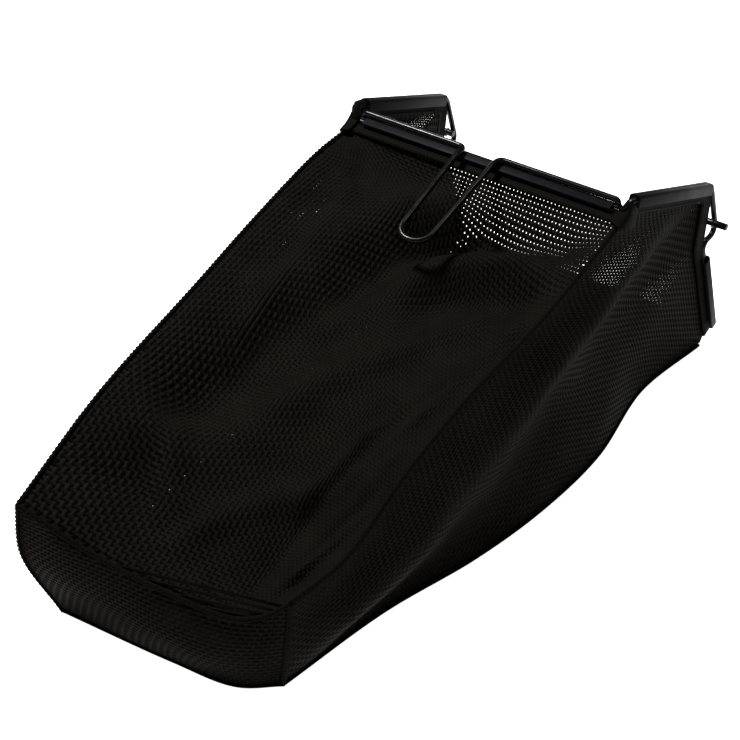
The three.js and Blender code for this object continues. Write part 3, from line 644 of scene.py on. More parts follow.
def side_surface(side):
    foot = FOOT_SEAM_RIGHT if side > 0 else FOOT_SEAM_LEFT
    top = TOP_SEAM_RIGHT if side > 0 else TOP_SEAM_LEFT
    rear = REAR_SEAM_RIGHT if side > 0 else REAR_SEAM_LEFT
    base = stretched(foot, top, front_edge(side), rear)
    lap_share = 2 * HEM_LAP / BAG_LENGTH
    height, length, seed = SIDE_RIPPLE

    def at(along, up):
        u = inset_end(along, BAG_LENGTH)
        v = inset(up, lerp(MOUTH_HEIGHT, REAR_HEIGHT_RIGHT, along))
        point = base(u, v)
        tall = lerp(MOUTH_HEIGHT, REAR_HEIGHT_RIGHT, u)
        ridge = lerp(RIDGE_START_SHARE, RIDGE_END_SHARE, np.clip(u, 0, 1) ** RIDGE_FALL_POWER)
        free = free_at(u - lap_share) * free_at(v)
        above = (v - ridge) * tall
        point[:, 0] += side * free * RIDGE_HEIGHT * bell(above, RIDGE_WIDTH)
        point[:, 0] -= side * free * HOLLOW_DEPTH * bell(above + HOLLOW_DROP, RIDGE_WIDTH)
        point[:, 0] += side * free * ripple(point, height, length, seed + side)
        return point

    return at


def rear_surface(across, up):
    base = stretched(REAR_FOOT_SEAM, REAR_TOP_SEAM, REAR_SEAM_LEFT, REAR_SEAM_RIGHT)
    u = inset(across, REAR_HALF_WIDTH_LEFT + REAR_HALF_WIDTH_RIGHT)
    v = inset(up, REAR_HEIGHT_MIDDLE)
    point = base(u, v)
    point[:, 1] -= REAR_BULGE * np.sin(math.pi * u) * np.sin(math.pi * v)
    point[:, 1] += free_at(u) * free_at(v) * ripple(point, *REAR_RIPPLE)
    return point


def floor_surface(along, across):
    hem_line = BOTTOM_ROD[0] - LAP_OFFSET
    front = line_through([FOOT_SEAM_LEFT(0)[0], FOOT_SEAM_RIGHT(0)[0]])
    base = stretched(front, REAR_FOOT_SEAM, FOOT_SEAM_LEFT, FOOT_SEAM_RIGHT)
    u = inset(across, FRAME_WIDTH)
    v = inset_end(along, BAG_LENGTH)
    point = base(u, v)
    rise = np.clip(1 - v * BAG_LENGTH / FLOOR_RISE_LENGTH, 0, 1)
    point[:, 1] += (hem_line - FOOT_FRONT[1]) * rise
    point[:, 2] += (BOTTOM_ROD[1] - LAP_SHIFT) * rise**2
    return point


def length_prop(name, description, default):
    """A size that shows in the sidebar."""
    return bpy.props.FloatProperty(name=name, description=description, default=default, unit="LENGTH")


def colour_prop(name, description, hex_colour):
    """A colour that shows in the sidebar."""
    return bpy.props.FloatVectorProperty(
        name=name, description=description, subtype="COLOR", size=4, default=srgb(hex_colour), min=0, max=1
    )


class RodSizes(bpy.types.PropertyGroup):
    sides: bpy.props.IntProperty(name="Sides", description="Faces round a rod", default=20, min=8)
    end_chamfer: length_prop("End chamfer", "Width of the broken edge at a cut rod's end", 0.7 * MM)
    weld_bead: length_prop("Weld bead", "Thickness of the bead round a welded rod", 1.5 * MM)
    colour: colour_prop("Coat", "Colour of the powder coat on the rods", 0x070708)


class ChannelSizes(bpy.types.PropertyGroup):
    corner: length_prop("Back radius", "Radius of the channel's rounded back", 3.4 * MM)
    end_slope: length_prop("End slope", "How far a channel's sawn end leans", 4.0 * MM)
    colour: colour_prop("Plastic", "Colour of the extruded plastic", 0x111113)


class ClothSizes(bpy.types.PropertyGroup):
    pitch: length_prop("Mesh pitch", "Spacing of the net's strands", 4.4 * MM)
    warp_width: length_prop("Warp width", "Width of the strands that run along the bag", 3.5 * MM)
    weft_width: length_prop("Weft width", "Width of the strands that run across the bag", 3.5 * MM)
    slack_warp_width: length_prop("Slack warp width", "Width of the left side's lengthwise strands", 3.0 * MM)
    slack_weft_width: length_prop("Slack weft width", "Width of the left side's upright strands", 4.35 * MM)
    strand_thickness: length_prop("Strand thickness", "Thickness of one flat strand of the net", 0.5 * MM)
    side_tape_width: length_prop("Side tape width", "Width of the close band along the side rods", 22.0 * MM)
    seam_width: length_prop("Seam width", "Width of the folded seam between two panels", 5.5 * MM)
    seam_thickness: length_prop("Seam thickness", "Thickness of that folded seam", 3.4 * MM)
    stitch_spacing: length_prop("Stitch spacing", "Distance from one stitch to the next", 5.0 * MM)
    net_colour: colour_prop("Net", "Colour of the net's polyester strands", 0x0C0B09)
    tape_colour: colour_prop("Tape", "Colour of the hem tape and the seams", 0x0B0A09)


class StageSizes(bpy.types.PropertyGroup):
    floor_size: length_prop("Floor", "Width of the floor", 14.0)
    floor_colour: colour_prop("Floor colour", "Colour of the studio floor", 0xFFFFFF)


def add_node(tree, kind, sockets=None, links=None, ramp=(), **settings):
    """Adds a shader node with its settings, its socket values, its incoming links and, on a
    colour ramp, its stops as (position, colour)."""
    node = tree.nodes.new("ShaderNode" + kind)
    for key, value in settings.items():
        setattr(node, key, value)
    for key, value in (sockets or {}).items():
        node.inputs[key].default_value = value
    for key, source in (links or {}).items():
        tree.links.new(source, node.inputs[key])
    for index, (position, colour) in enumerate(ramp):
        node.color_ramp.elements[index].position = position
        node.color_ramp.elements[index].color = colour
    return node


def new_material(name, sockets):
    """A material whose principled shader has its constant values and reaches the output."""
    material = bpy.data.materials.new(name)
    material.use_nodes = True
    tree = material.node_tree
    tree.nodes.clear()
    shader = add_node(tree, "BsdfPrincipled", sockets)
    add_node(tree, "OutputMaterial", links={"Surface": shader.outputs["BSDF"]})
    return material, tree, shader


def join_patterns(tree, shader, fine, relief, tint_pattern=None, tints=(), rough=()):
    """Joins a fine pattern to the shader as a relief of (strength, height), and a coarse one as
    a tint between two stops and a spread of roughness, each where it is given. The tint is wear
    on the rods, the vinyl and the net; the woven tape gives its own weave here instead, as
    painted shade in its grooves."""
    strength, height = relief
    bump = add_node(tree, "Bump", {"Strength": strength, "Distance": height}, {"Height": fine})
    tree.links.new(bump.outputs["Normal"], shader.inputs["Normal"])
    if tints:
        tint = add_node(tree, "ValToRGB", links={"Fac": tint_pattern}, ramp=tints)
        tree.links.new(tint.outputs["Color"], shader.inputs["Base Color"])
    if rough:
        limits = dict(zip(("From Min", "From Max", "To Min", "To Max"), rough))
        spread = add_node(tree, "MapRange", limits, {"Value": tint_pattern})
        tree.links.new(spread.outputs["Result"], shader.inputs["Roughness"])


def powder_coated_steel(colour):
    """Black powder coat on round steel rod: a satin skin with a fine orange peel, which breaks
    the highlights a little. The coat is thinner and greyer where it has been rubbed."""
    material, tree, shader = new_material("powder_coated_steel", {"IOR": 1.5, "Specular IOR Level": 0.13})
    spot = {"Vector": add_node(tree, "TexCoord").outputs["Object"]}
    peel = add_node(tree, "TexNoise", {"Scale": 1 / (1.1 * MM), "Detail": 2.0}, spot).outputs["Fac"]
    rubbed = add_node(tree, "TexNoise", {"Scale": 1 / (26 * MM), "Detail": 5.0}, spot).outputs["Fac"]
    tints = ((0.55, colour), (0.8, srgb(0x0D0D0E)))
    join_patterns(tree, shader, peel, (0.12, 0.08 * MM), rubbed, tints, (0.3, 0.7, 0.2, 0.3))
    return material


def drawn_noise(tree, uv_map, across, along, detail):
    """A noise drawn out along a piece, from its own UV map and its grain in both directions."""
    place_node = add_node(tree, "UVMap", uv_map=uv_map)
    scale = {"Scale": (1 / across, 1 / along, 1.0)}
    drawn = add_node(tree, "Mapping", scale, {"Vector": place_node.outputs["UV"]})
    noise = add_node(tree, "TexNoise", {"Scale": 1.0, "Detail": detail}, {"Vector": drawn.outputs["Vector"]})
    return noise.outputs["Fac"]


def extruded_vinyl(colour):
    """Hard black vinyl, extruded: glossy, with faint draw lines along the profile and small
    handling scuffs that dull it in patches."""
    material, tree, shader = new_material("extruded_vinyl", {"IOR": 1.53, "Specular IOR Level": 0.012})
    lines = drawn_noise(tree, "profile", 0.9 * MM, 180 * MM, 3.0)
    spot = {"Vector": add_node(tree, "TexCoord").outputs["Object"]}
    grain = {"Scale": 1 / (14 * MM), "Detail": 6.0, "Roughness": 0.65}
    scuffs = add_node(tree, "TexNoise", grain, spot).outputs["Fac"]
    tints = ((0.4, colour), (0.85, srgb(0x171719)))
    join_patterns(tree, shader, lines, (0.1, 0.08 * MM), scuffs, tints, (0.35, 0.75, 0.36, 0.52))
    return material


def coated_polyester(colour):
    """Strands of black polyester with a thin vinyl coat: dull, with filaments that run along
    the strand, a third of a millimetre apart. The coat has worn lighter in wide patches."""
    values = {"Roughness": 0.55, "Specular IOR Level": 0.01}
    material, tree, shader = new_material("coated_polyester", values)
    filaments = drawn_noise(tree, "strand", 0.35 * MM, 4 * MM, 2.0)
    spot = {"Vector": add_node(tree, "TexCoord").outputs["Object"]}
    grain = {"Scale": 1 / (45 * MM), "Detail": 5.0, "Roughness": 0.6}
    tint_pattern = add_node(tree, "TexNoise", grain, spot).outputs["Fac"]
    tints = ((0.35, colour), (0.75, srgb(0x12100D)))
    join_patterns(tree, shader, filaments, (0.5, 0.12 * MM), tint_pattern, tints)
    return material


def woven_tape(name, colour, rib):
    """Close-woven polyester: matt, with ribs across its length. Its colour has painted shade
    in the grooves between the ribs, so that the crests read lighter.
    """
    material, tree, shader = new_material(name, {"Roughness": 0.7, "Specular IOR Level": 0.02})
    spot = {"Vector": add_node(tree, "UVMap", uv_map="cloth").outputs["UV"]}
    wave = {"Scale": RIB_SCALE / rib, "Distortion": 0.4, "Detail": 1.0}
    warp, weft = (add_node(tree, "TexWave", wave, spot, bands_direction=axis) for axis in "XY")
    both = {0: warp.outputs["Fac"], 1: weft.outputs["Fac"]}
    weave = add_node(tree, "Math", links=both, operation="MAXIMUM").outputs["Value"]
    # The tint is painted shade: darker where the weave is low, in the grooves between the ribs, and the
    # tape's own colour on the crests
    join_patterns(tree, shader, weave, (0.7, 0.25 * MM), weave, ((0.2, srgb(0x050504)), (0.9, colour)))
    return material


def sewing_thread():
    """Bonded polyester sewing thread: dark brown-black, a little glossier than the cloth."""
    values = {"Base Color": srgb(0x0B0A09), "Roughness": 0.6, "Specular IOR Level": 0.03}
    material, tree, shader = new_material("sewing_thread", values)
    spot = {"Vector": add_node(tree, "TexCoord").outputs["Object"]}
    twist = add_node(tree, "TexNoise", {"Scale": 1 / (0.5 * MM), "Detail": 2.0}, spot)
    join_patterns(tree, shader, twist.outputs["Fac"], (0.4, 0.1 * MM))
    return material


def studio_paper(colour):
    """Seamless white background paper, matt. It glows, so that it is as white as the photo's."""
    values = {"Base Color": colour, "Roughness": 0.95, "Emission Color": colour, "Emission Strength": 1.0}
    material, tree, shader = new_material("studio_paper", values)
    spot = {"Vector": add_node(tree, "TexCoord").outputs["Object"]}
    fibre = add_node(tree, "TexNoise", {"Scale": 1 / (3 * MM), "Detail": 2.0}, spot)
    join_patterns(tree, shader, fibre.outputs["Fac"], (0.02, 0.05 * MM))
    return material


MATERIALS = {}


def material_named(name, maker, *values):
    """Makes a material once, and hands the same one out afterwards."""
    if name not in MATERIALS:
        MATERIALS[name] = maker(*values)
    return MATERIALS[name]


def rod_material():
    return material_named("rod", powder_coated_steel, tuple(bpy.context.scene.bag_rods.colour))


def tape_material():
    colour = tuple(bpy.context.scene.bag_cloth.tape_colour)
    return material_named("tape", woven_tape, "hem_tape_weave", colour, TAPE_RIB)


def deselect():
    bpy.ops.object.select_all(action="DESELECT")


def make_active(piece):
    deselect()
    piece.select_set(True)
    bpy.context.view_layer.objects.active = piece


def apply_place():
    bpy.ops.object.transform_apply(location=True, rotation=True, scale=True)


def smooth_by_angle():
    bpy.ops.object.shade_smooth_by_angle(angle=SMOOTH_ANGLE)


def apply_modifier(piece, kind, **settings):
    """Gives the active piece a modifier with its settings, and applies it."""
    modifier = piece.modifiers.new(kind.title(), kind)
    for key, value in settings.items():
        setattr(modifier, key, value)
    bpy.ops.object.modifier_apply(modifier=modifier.name)


def finish_piece(piece, name, material, replaced=()):
    """Names a finished piece, gives it its finish and hangs it on the frame's body."""
    piece.name = name
    piece.data.name = name
    piece.data.materials.clear()
    piece.data.materials.append(material)
    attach(piece, BODY)
    if replaced:
        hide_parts(*replaced)
    return piece


def edit(*steps):
    """Runs steps in edit mode on the active object and comes back to object mode."""
    bpy.ops.object.mode_set(mode="EDIT")
    for step in steps:
        step()
    bpy.ops.object.mode_set(mode="OBJECT")


def select_all_parts():
    bpy.ops.mesh.select_all(action="SELECT")


def face_outward():
    bpy.ops.mesh.normals_make_consistent(inside=False)


def extrude(vector):
    bpy.ops.mesh.extrude_region_move(TRANSFORM_OT_translate={"value": vector, "orient_type": "GLOBAL"})


def bent_rod(name, node, points, radii):
    """A round rod: a circle, extruded along each straight stretch and spun round each bend."""
    sizes = bpy.context.scene.bag_rods
    chamfer = sizes.end_chamfer
    narrow = ROD_RADIUS * MM - chamfer
    widen = ROD_RADIUS * MM / narrow
    path = [Vector(p) for p in place(points)]
    start = (path[1] - path[0]).normalized()
    turned = start.to_track_quat("Z", "Y").to_euler()
    deselect()
    bpy.ops.mesh.primitive_circle_add(
        vertices=sizes.sides, radius=narrow, fill_type="NGON", location=path[0], rotation=turned
    )
    rod = bpy.context.object
    apply_place()

    def grow(vector, scale, centre):
        extrude(vector)
        bpy.ops.transform.resize(value=(scale, scale, scale), center_override=centre)

    bpy.ops.object.mode_set(mode="EDIT")
    select_all_parts()
    here = path[0] + start * chamfer
    grow(here - path[0], widen, here)
    for before, corner, after, radius in zip(path[:-2], path[1:-1], path[2:], radii):
        arc, centre, axis, turn = corner_arc(
            np.array(before), np.array(corner), np.array(after), radius * MM, SPIN_ARC_STEPS
        )
        bend_start = Vector(arc[0])
        if (bend_start - here).length > chamfer * SHORT_STRETCH:
            extrude(bend_start - here)
        steps = max(SPIN_STEPS_LEAST, round(math.degrees(turn) / SPIN_STEP_DEGREES))
        bpy.ops.mesh.spin(steps=steps, angle=-turn, center=Vector(centre), axis=Vector(axis))
        here = Vector(arc[-1])
    end = (path[-1] - path[-2]).normalized()
    extrude(path[-1] - end * chamfer - here)
    grow(end * chamfer, 1 / widen, path[-1])
    select_all_parts()
    bpy.ops.mesh.remove_doubles(threshold=TOUCH)
    face_outward()
    bpy.ops.object.mode_set(mode="OBJECT")
    smooth_by_angle()
    finish_piece(rod, name, rod_material(), [node])


def weld_bead(name, centre, axis, radius, thickness):
    """The bead round the foot of a welded rod: a ring, swollen and pinched along its turn."""
    middle = Vector(place(centre))
    deselect()
    bpy.ops.mesh.primitive_torus_add(
        major_segments=BEAD_STEPS,
        minor_segments=BEAD_SIDES,
        major_radius=radius,
        minor_radius=thickness,
        location=middle,
        rotation=Vector(axis).to_track_quat("Z", "Y").to_euler(),
    )
    bead = bpy.context.object
    apply_place()
    for vertex in bead.data.vertices:
        away = vertex.co - middle
        turn = math.atan2(away.y, away.x + BEAD_TWIST * away.z)
        vertex.co = middle + away * (1 + BEAD_LUMP_SHARE * math.sin(BEAD_LUMPS * turn))
    bpy.ops.object.shade_smooth()
    finish_piece(bead, name, rod_material())


class BAG_OT_frame_rods(bpy.types.Operator):
    """Bends the two frame rods: the upper one with its noses, and the lower U of the posts"""

    bl_idname = "bag.frame_rods"
    bl_label = "Frame rods"

    def execute(self, context):
        half_gap = CONTACT_GAP / 2
        side_points = (CORNER, SLANT_END, NOSE_TIP, THROAT, along_line(POST_TOP, THROAT, half_gap))
        upper = [vec(SIDE_X - CORNER_INSET, CROSS_Y, MOUTH_HEIGHT)]
        upper += [profile_point(p, SIDE_X) for p in side_points]
        bends = [CORNER_BEND, CORNER_BEND, SLANT_BEND, NOSE_BEND, THROAT_BEND]
        bent_rod("upper_rod", "upper_frame_rod", mirrored(upper) + upper, bends[::-1] + bends)
        lower = [profile_point(p, SIDE_X) for p in (BOTTOM_ROD, along_line(POST_TOP, BOTTOM_ROD, half_gap))]
        bent_rod("lower_rod", "lower_frame_rod", mirrored(lower) + lower, [BOTTOM_BEND, BOTTOM_BEND])
        return {"FINISHED"}


class BAG_OT_handle_wire(bpy.types.Operator):
    """Bends the wire along the mouth's top with its long carrying loop, and welds its ends"""

    bl_idname = "bag.handle_wire"
    bl_label = "Handle wire"

    def execute(self, context):
        end_x = CHANNEL_HALF_LENGTH + CONTACT_GAP + ROD_RADIUS
        foot_z = MOUTH_HEIGHT + ROD_RADIUS + CONTACT_GAP
        knee_y = CROSS_Y - CHANNEL_FRONT - ROD_RADIUS
        knee_half = lerp(LOOP_ROOT_WIDTH, LOOP_TIP_WIDTH, (HANDLE_Y - knee_y) / LOOP_LENGTH) / 2
        root_z = HANDLE_Z - LOOP_ROOT_SAG
        right = [
            vec(end_x, HANDLE_Y, foot_z),
            vec(end_x, HANDLE_Y, HANDLE_Z - WIRE_END_SAG),
            vec(LOOP_OFFSET + LOOP_ROOT_WIDTH / 2, HANDLE_Y, root_z),
            vec(LOOP_OFFSET + knee_half, knee_y, root_z),
            vec(LOOP_OFFSET + LOOP_TIP_WIDTH / 2, HANDLE_Y - LOOP_LENGTH, HANDLE_Z - LOOP_DROP),
        ]
        loop_side = [p * vec(-1, 1, 1) + vec(2 * LOOP_OFFSET, 0, 0) for p in right[2:]]
        left = [p * vec(-1, 1, 1) for p in right[:2]] + loop_side
        bends = [HANDLE_BEND, HANDLE_BEND, LOOP_KNEE_BEND, LOOP_TIP_WIDTH / 2]
        bent_rod("carrying_wire", "handle_wire", left + right[::-1], bends + bends[::-1])
        thickness = context.scene.bag_rods.weld_bead
        for side_name, side in SIDES:
            foot = vec(side * end_x, HANDLE_Y, foot_z)
            weld_bead(f"{side_name}_wire_weld", foot, WIRE_WELD_AXIS, ROD_RADIUS * MM, thickness)
        return {"FINISHED"}


class BAG_OT_hanger_pins(bpy.types.Operator):
    """Turns the two hanger pins that lie across the noses, with chamfered ends and weld beads"""

    bl_idname = "bag.hanger_pins"
    bl_label = "Hanger pins"

    def execute(self, context):
        sizes = context.scene.bag_rods
        radius = PIN_DIAMETER / 2 * MM
        for side_name, side in SIDES:
            node = f"{side_name}_hanger_pin"
            low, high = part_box(node)
            deselect()
            bpy.ops.mesh.primitive_cylinder_add(
                vertices=PIN_SIDES,
                radius=radius,
                depth=high.x - low.x,
                location=(low + high) / 2,
                rotation=(0, math.pi / 2, 0),
            )
            pin = context.object
            apply_place()
            apply_modifier(pin, "BEVEL", width=sizes.end_chamfer, segments=3, limit_method="ANGLE")
            smooth_by_angle()
            finish_piece(pin, f"{side_name}_pin", rod_material(), [node])
            foot = vec(side * (SIDE_X + ROD_RADIUS), PIN_PLACE[0], PIN_PLACE[1])
            weld_bead(f"{side_name}_pin_weld", foot, (1, 0, 0), radius, sizes.weld_bead * PIN_BEAD_SHARE)
        return {"FINISHED"}


def select_parts(piece, faces=None, edges=None):
    """Selects the faces for which faces(normal) is true, or the edges for which
    edges(start, end) is true, and nothing else."""
    vertices = piece.data.vertices
    for vertex in vertices:
        vertex.select = False
    for face in piece.data.polygons:
        face.select = bool(faces and faces(face.normal))
    for line in piece.data.edges:
        start, end = (vertices[k] for k in line.vertices)
        line.select = bool(edges and edges(start.co, end.co))
        if line.select:
            start.select = True
            end.select = True


def write_uv(mesh, name, of_point):
    """A UV map worked out from each corner's place."""
    layer = mesh.uv_layers.new(name=name)
    for loop in mesh.loops:
        layer.data[loop.index].uv = of_point(mesh.vertices[loop.vertex_index].co)


def snap_channel(place_name, start, end, opening, slope=0):
    """One length of snap channel, modelled along Y with its open side up, then laid in place.
    A box loses its ends and its open side, gets lips, a rounded back, a wall and broken edges."""
    sizes = bpy.context.scene.bag_channels
    start = Vector(place(start))
    end = Vector(place(end))
    length = (end - start).length
    wall = CHANNEL_WALL * MM
    half = CHANNEL_WIDTH / 2 * MM
    back = CHANNEL_BACK * MM
    front = CHANNEL_FRONT * MM
    deselect()
    bpy.ops.mesh.primitive_cube_add(size=1, location=(0, length / 2, (back + front) / 2))
    channel = bpy.context.object
    channel.scale = (2 * half, length, front - back)
    apply_place()
    edit(lambda: bpy.ops.mesh.select_mode(type="FACE"))
    select_parts(channel, faces=lambda normal: abs(normal.y) > 0.5 or normal.z > 0.5)
    edit(lambda: bpy.ops.mesh.delete(type="FACE"), lambda: bpy.ops.mesh.select_mode(type="EDGE"))
    for side in (-1, 1):

        def at_lip(a, b, side=side):
            return min(a.z, b.z) > front - TOUCH and min(a.x * side, b.x * side) > half - TOUCH

        select_parts(channel, edges=at_lip)
        lip = (-side * (wall + CHANNEL_LIP * MM), 0, 0)
        edit(lambda lip=lip: extrude(lip))
    select_parts(channel, edges=lambda a, b: max(a.z, b.z) < back + TOUCH and abs(a.y - b.y) > length / 2)
    rounding = {"offset": sizes.corner, "offset_type": "OFFSET", "segments": BACK_STEPS, "affect": "EDGES"}
    edit(lambda: bpy.ops.mesh.bevel(**rounding))
    if slope:
        cut = {"plane_co": (0, 0, 0), "plane_no": (0, back - front, slope), "clear_outer": True}
        edit(select_all_parts, lambda: bpy.ops.mesh.bisect(**cut))
    apply_modifier(channel, "SOLIDIFY", thickness=wall, offset=-1)
    broken = {"limit_method": "ANGLE", "angle_limit": BROKEN_EDGE_ANGLE}
    apply_modifier(channel, "BEVEL", width=BROKEN_EDGE * MM, segments=2, **broken)
    edit(select_all_parts, face_outward)
    write_uv(channel.data, "profile", lambda co: (co.x + co.z, co.y))
    along = (end - start).normalized()
    up = Vector(opening).normalized()
    turn = Matrix((along.cross(up), along, up)).transposed().to_4x4()
    channel.matrix_world = Matrix.Translation(start) @ turn
    apply_place()
    smooth_by_angle()
    vinyl = material_named("vinyl", extruded_vinyl, tuple(sizes.colour))
    finish_piece(channel, f"{place_name}_snap", vinyl, [f"{place_name}_channel"])


class BAG_OT_snap_channels(bpy.types.Operator):
    """Extrudes the six snap channels that clip the cloth to the frame"""

    bl_idname = "bag.snap_channels"
    bl_label = "Snap channels"

    def execute(self, context):
        slope = context.scene.bag_channels.end_slope
        reach = CHANNEL_HALF_LENGTH
        top = vec(CROSS_Y, MOUTH_HEIGHT)
        snap_channel("top", profile_point(top, -reach), profile_point(top, reach), TOP_DIRECTION)
        low = BOTTOM_ROD
        snap_channel("bottom", profile_point(low, -reach), profile_point(low, reach), (0, -1, 0))
        slant_run = np.linalg.norm(SLANT_END - CORNER)
        slant_stop = along_line(CORNER, SLANT_END, slant_run - SLANT_CHANNEL_MARGIN)
        slant_down = profile_point(inward(vec(0, 0), CORNER, SLANT_END, 1), 0)
        post_stop = along_line(BOTTOM_ROD, POST_TOP, POST_CHANNEL_BASE)
        post_back = profile_point(inward(vec(0, 0), THROAT, BOTTOM_ROD, 1), 0)
        for side_name, side in SIDES:
            x = side * SIDE_X
            begin = profile_point(along_line(CORNER, SLANT_END, CHANNEL_STARTS[side_name]), x)
            snap_channel(f"{side_name}_slant", begin, profile_point(slant_stop, x), slant_down, slope)
            post_top = profile_point(POST_TOP, x)
            snap_channel(f"{side_name}_post", post_top, profile_point(post_stop, x), post_back)
        return {"FINISHED"}


def mesh_piece(name, vertices, faces, uvs=None, uv_name="cloth"):
    """A smooth mesh object from points in metres. UVs are one pair for each corner of a face,
    in order. Faces past the last pair, such as end caps, get none."""
    mesh = bpy.data.meshes.new(name)
    mesh.from_pydata(vertices.tolist(), [], faces)
    mesh.update()
    if uvs is not None:
        flat = np.zeros((len(mesh.loops), 2), np.float32)
        flat[: len(uvs)] = uvs
        mesh.uv_layers.new(name=uv_name).data.foreach_set("uv", flat.ravel())
    mesh.polygons.foreach_set("use_smooth", np.ones(len(mesh.polygons), bool))
    piece = bpy.data.objects.new(name, mesh)
    bpy.context.scene.collection.objects.link(piece)
    return piece


def turn_outward(piece):
    """Turns a closed mesh right side out if its signed volume is negative."""
    mesh = piece.data
    mesh.calc_loop_triangles()
    points = np.zeros(len(mesh.vertices) * 3)
    mesh.vertices.foreach_get("co", points)
    triangles = np.zeros(len(mesh.loop_triangles) * 3, int)
    mesh.loop_triangles.foreach_get("vertices", triangles)
    a, b, c = (points.reshape(-1, 3)[triangles.reshape(-1, 3)[:, k]] for k in range(3))
    if (a * np.cross(b, c)).sum() < 0:
        mesh.flip_normals()
    return piece


def tube_faces(rings, sides):
    """Quads of a tube that is open at both ends, from its rings of points."""
    i, j = np.meshgrid(np.arange(rings - 1), np.arange(sides), indexing="ij")
    a = i * sides + j
    b = i * sides + (j + 1) % sides
    return np.stack([a, b, b + sides, a + sides], axis=-1).reshape(-1, 4)


def grid_faces(rows, columns):
    """Quads of a sheet of points that are counted row by row."""
    i, j = np.meshgrid(np.arange(rows - 1), np.arange(columns - 1), indexing="ij")
    a = (i * columns + j).ravel()
    return np.stack([a, a + 1, a + 1 + columns, a + columns], axis=-1)


def add_strand(parts, centres, across, normals, width, thickness, run):
    """One flat strand of the net, closed at both ends. Its width is given at each station."""
    rings = len(centres)
    half = width[:, None] / 2
    section = ((1, -1), (1, 1), (-1, 1), (-1, -1))
    corners = [centres + across * (sx * half) + normals * (sy * thickness / 2) for sx, sy in section]
    points = np.stack(corners, axis=1).reshape(-1, 3)
    caps = np.array([[3, 2, 1, 0], np.arange(4 * rings - 4, 4 * rings)])
    faces = np.vstack([tube_faces(rings, 4), caps])
    uv = np.stack([faces % 4 * width.mean() / 2, run[faces // 4]], axis=-1)
    parts["points"].append(points)
    parts["faces"].append(faces + parts["count"])
    parts["uvs"].append(uv.reshape(-1, 2))
    parts["count"] += len(points)


def even_stations(surface, pitch):
    """Shares along a surface at which its rows stand a pitch apart, measured on the cloth."""
    fine = np.linspace(0, 1, SURFACE_SAMPLES)
    runs = [run_of(surface(fine, np.full(len(fine), share))) for share in MEASURED_ROWS]
    run = np.mean(runs, axis=0)
    return np.interp(np.linspace(0, run[-1], round(run[-1] / pitch) + 1), run, fine)


def neighbour_gap(points, axis):
    """The wider of the gaps to the two neighbours along an axis."""
    gaps = np.linalg.norm(np.diff(points, axis=axis), axis=2)
    ends = [(1, 1) if k == axis else (0, 0) for k in (0, 1)]
    padded = np.pad(gaps, ends, mode="edge")
    count = points.shape[axis]
    return np.maximum(padded.take(range(count), axis), padded.take(range(1, count + 1), axis))


def doubled_ends(rows):
    return np.concatenate([rows[:1], rows, rows[-1:]])


def weave_net(name, surface, anchor, warp, weft, crimp):
    """A net of flat strands, woven over and under, on a surface of (along, across) shares.
    Warp and weft are the widths of the strands that run along the panel and across it. Crimp
    is the warp's share of the waviness: at 1 the strands across the panel lie straight.
    Strands along the panel keep their spacing, so they end at a seam where it narrows."""
    sizes = bpy.context.scene.bag_cloth
    pitch = sizes.pitch / MM
    thickness = sizes.strand_thickness / MM
    stations = even_stations(surface, pitch)
    probe = np.linspace(0, 1, SPAN_SAMPLES)
    spans = np.array([run_of(surface(np.full(SPAN_SAMPLES, a), probe))[-1] for a in stations])
    widest = spans.max()
    first = math.ceil(-anchor * widest / pitch)
    last = math.floor((1 - anchor) * widest / pitch)
    along, offset = np.meshgrid(stations, np.arange(first, last + 1) * pitch, indexing="ij")
    shares = anchor + offset / spans[:, None]
    margin = STRAND_MARGIN * pitch / widest
    inside = (shares > margin) & (shares < 1 - margin)
    shape = (*along.shape, 3)

    def point_at(ahead, right):
        a = np.clip(along.ravel() + ahead, 0, 1)
        return surface(a, np.clip(np.clip(shares.ravel(), 0, 1) + right, 0, 1)).reshape(shape)

    centre = point_at(0, 0)
    forward = point_at(PROBE_STEP, 0) - point_at(-PROBE_STEP, 0)
    sideways = point_at(0, PROBE_STEP) - point_at(0, -PROBE_STEP)
    forward /= np.linalg.norm(forward, axis=2)[:, :, None]
    sideways /= np.linalg.norm(sideways, axis=2)[:, :, None]
    normal = np.cross(sideways, forward)
    normal /= np.linalg.norm(normal, axis=2)[:, :, None]
    checker = np.where(np.add.outer(np.arange(shape[0]), np.arange(shape[1])) % 2, 1.0, -1.0)
    lift = normal * (checker * thickness * CROSSING_HEIGHT)[:, :, None]
    warp_place = centre + lift * crimp
    weft_place = centre + lift * (crimp - 1)
    weft_width, warp_width = (
        width / MM * np.clip(neighbour_gap(centre, axis) / pitch, *STRETCH_LIMITS)
        for axis, width in enumerate((weft, warp))
    )
    parts = {"points": [], "faces": [], "uvs": [], "count": 0}
    for k in range(shape[1]):
        rows = np.flatnonzero(inside[:, k])
        if len(rows) > 1:
            ways = (sideways[rows, k] * MM, normal[rows, k] * MM)
            width = warp_width[rows, k]
            add_strand(parts, place(warp_place[rows, k]), *ways, width, thickness, rows * pitch * MM)
    for i in range(shape[0]):
        columns = np.flatnonzero(inside[i])
        ends = surface(np.full(2, stations[i]), vec(0, 1))
        middle = np.vstack([ends[:1], weft_place[i, columns], ends[1:]])
        ways = (doubled_ends(forward[i, columns]) * MM, doubled_ends(normal[i, columns]) * MM)
        width = doubled_ends(weft_width[i, columns])
        add_strand(parts, place(middle), *ways, width, thickness, np.arange(len(middle)) * pitch * MM)
    points, faces, uvs = (np.vstack(parts[key]) for key in ("points", "faces", "uvs"))
    return mesh_piece(name, points, faces.tolist(), uvs, "strand")


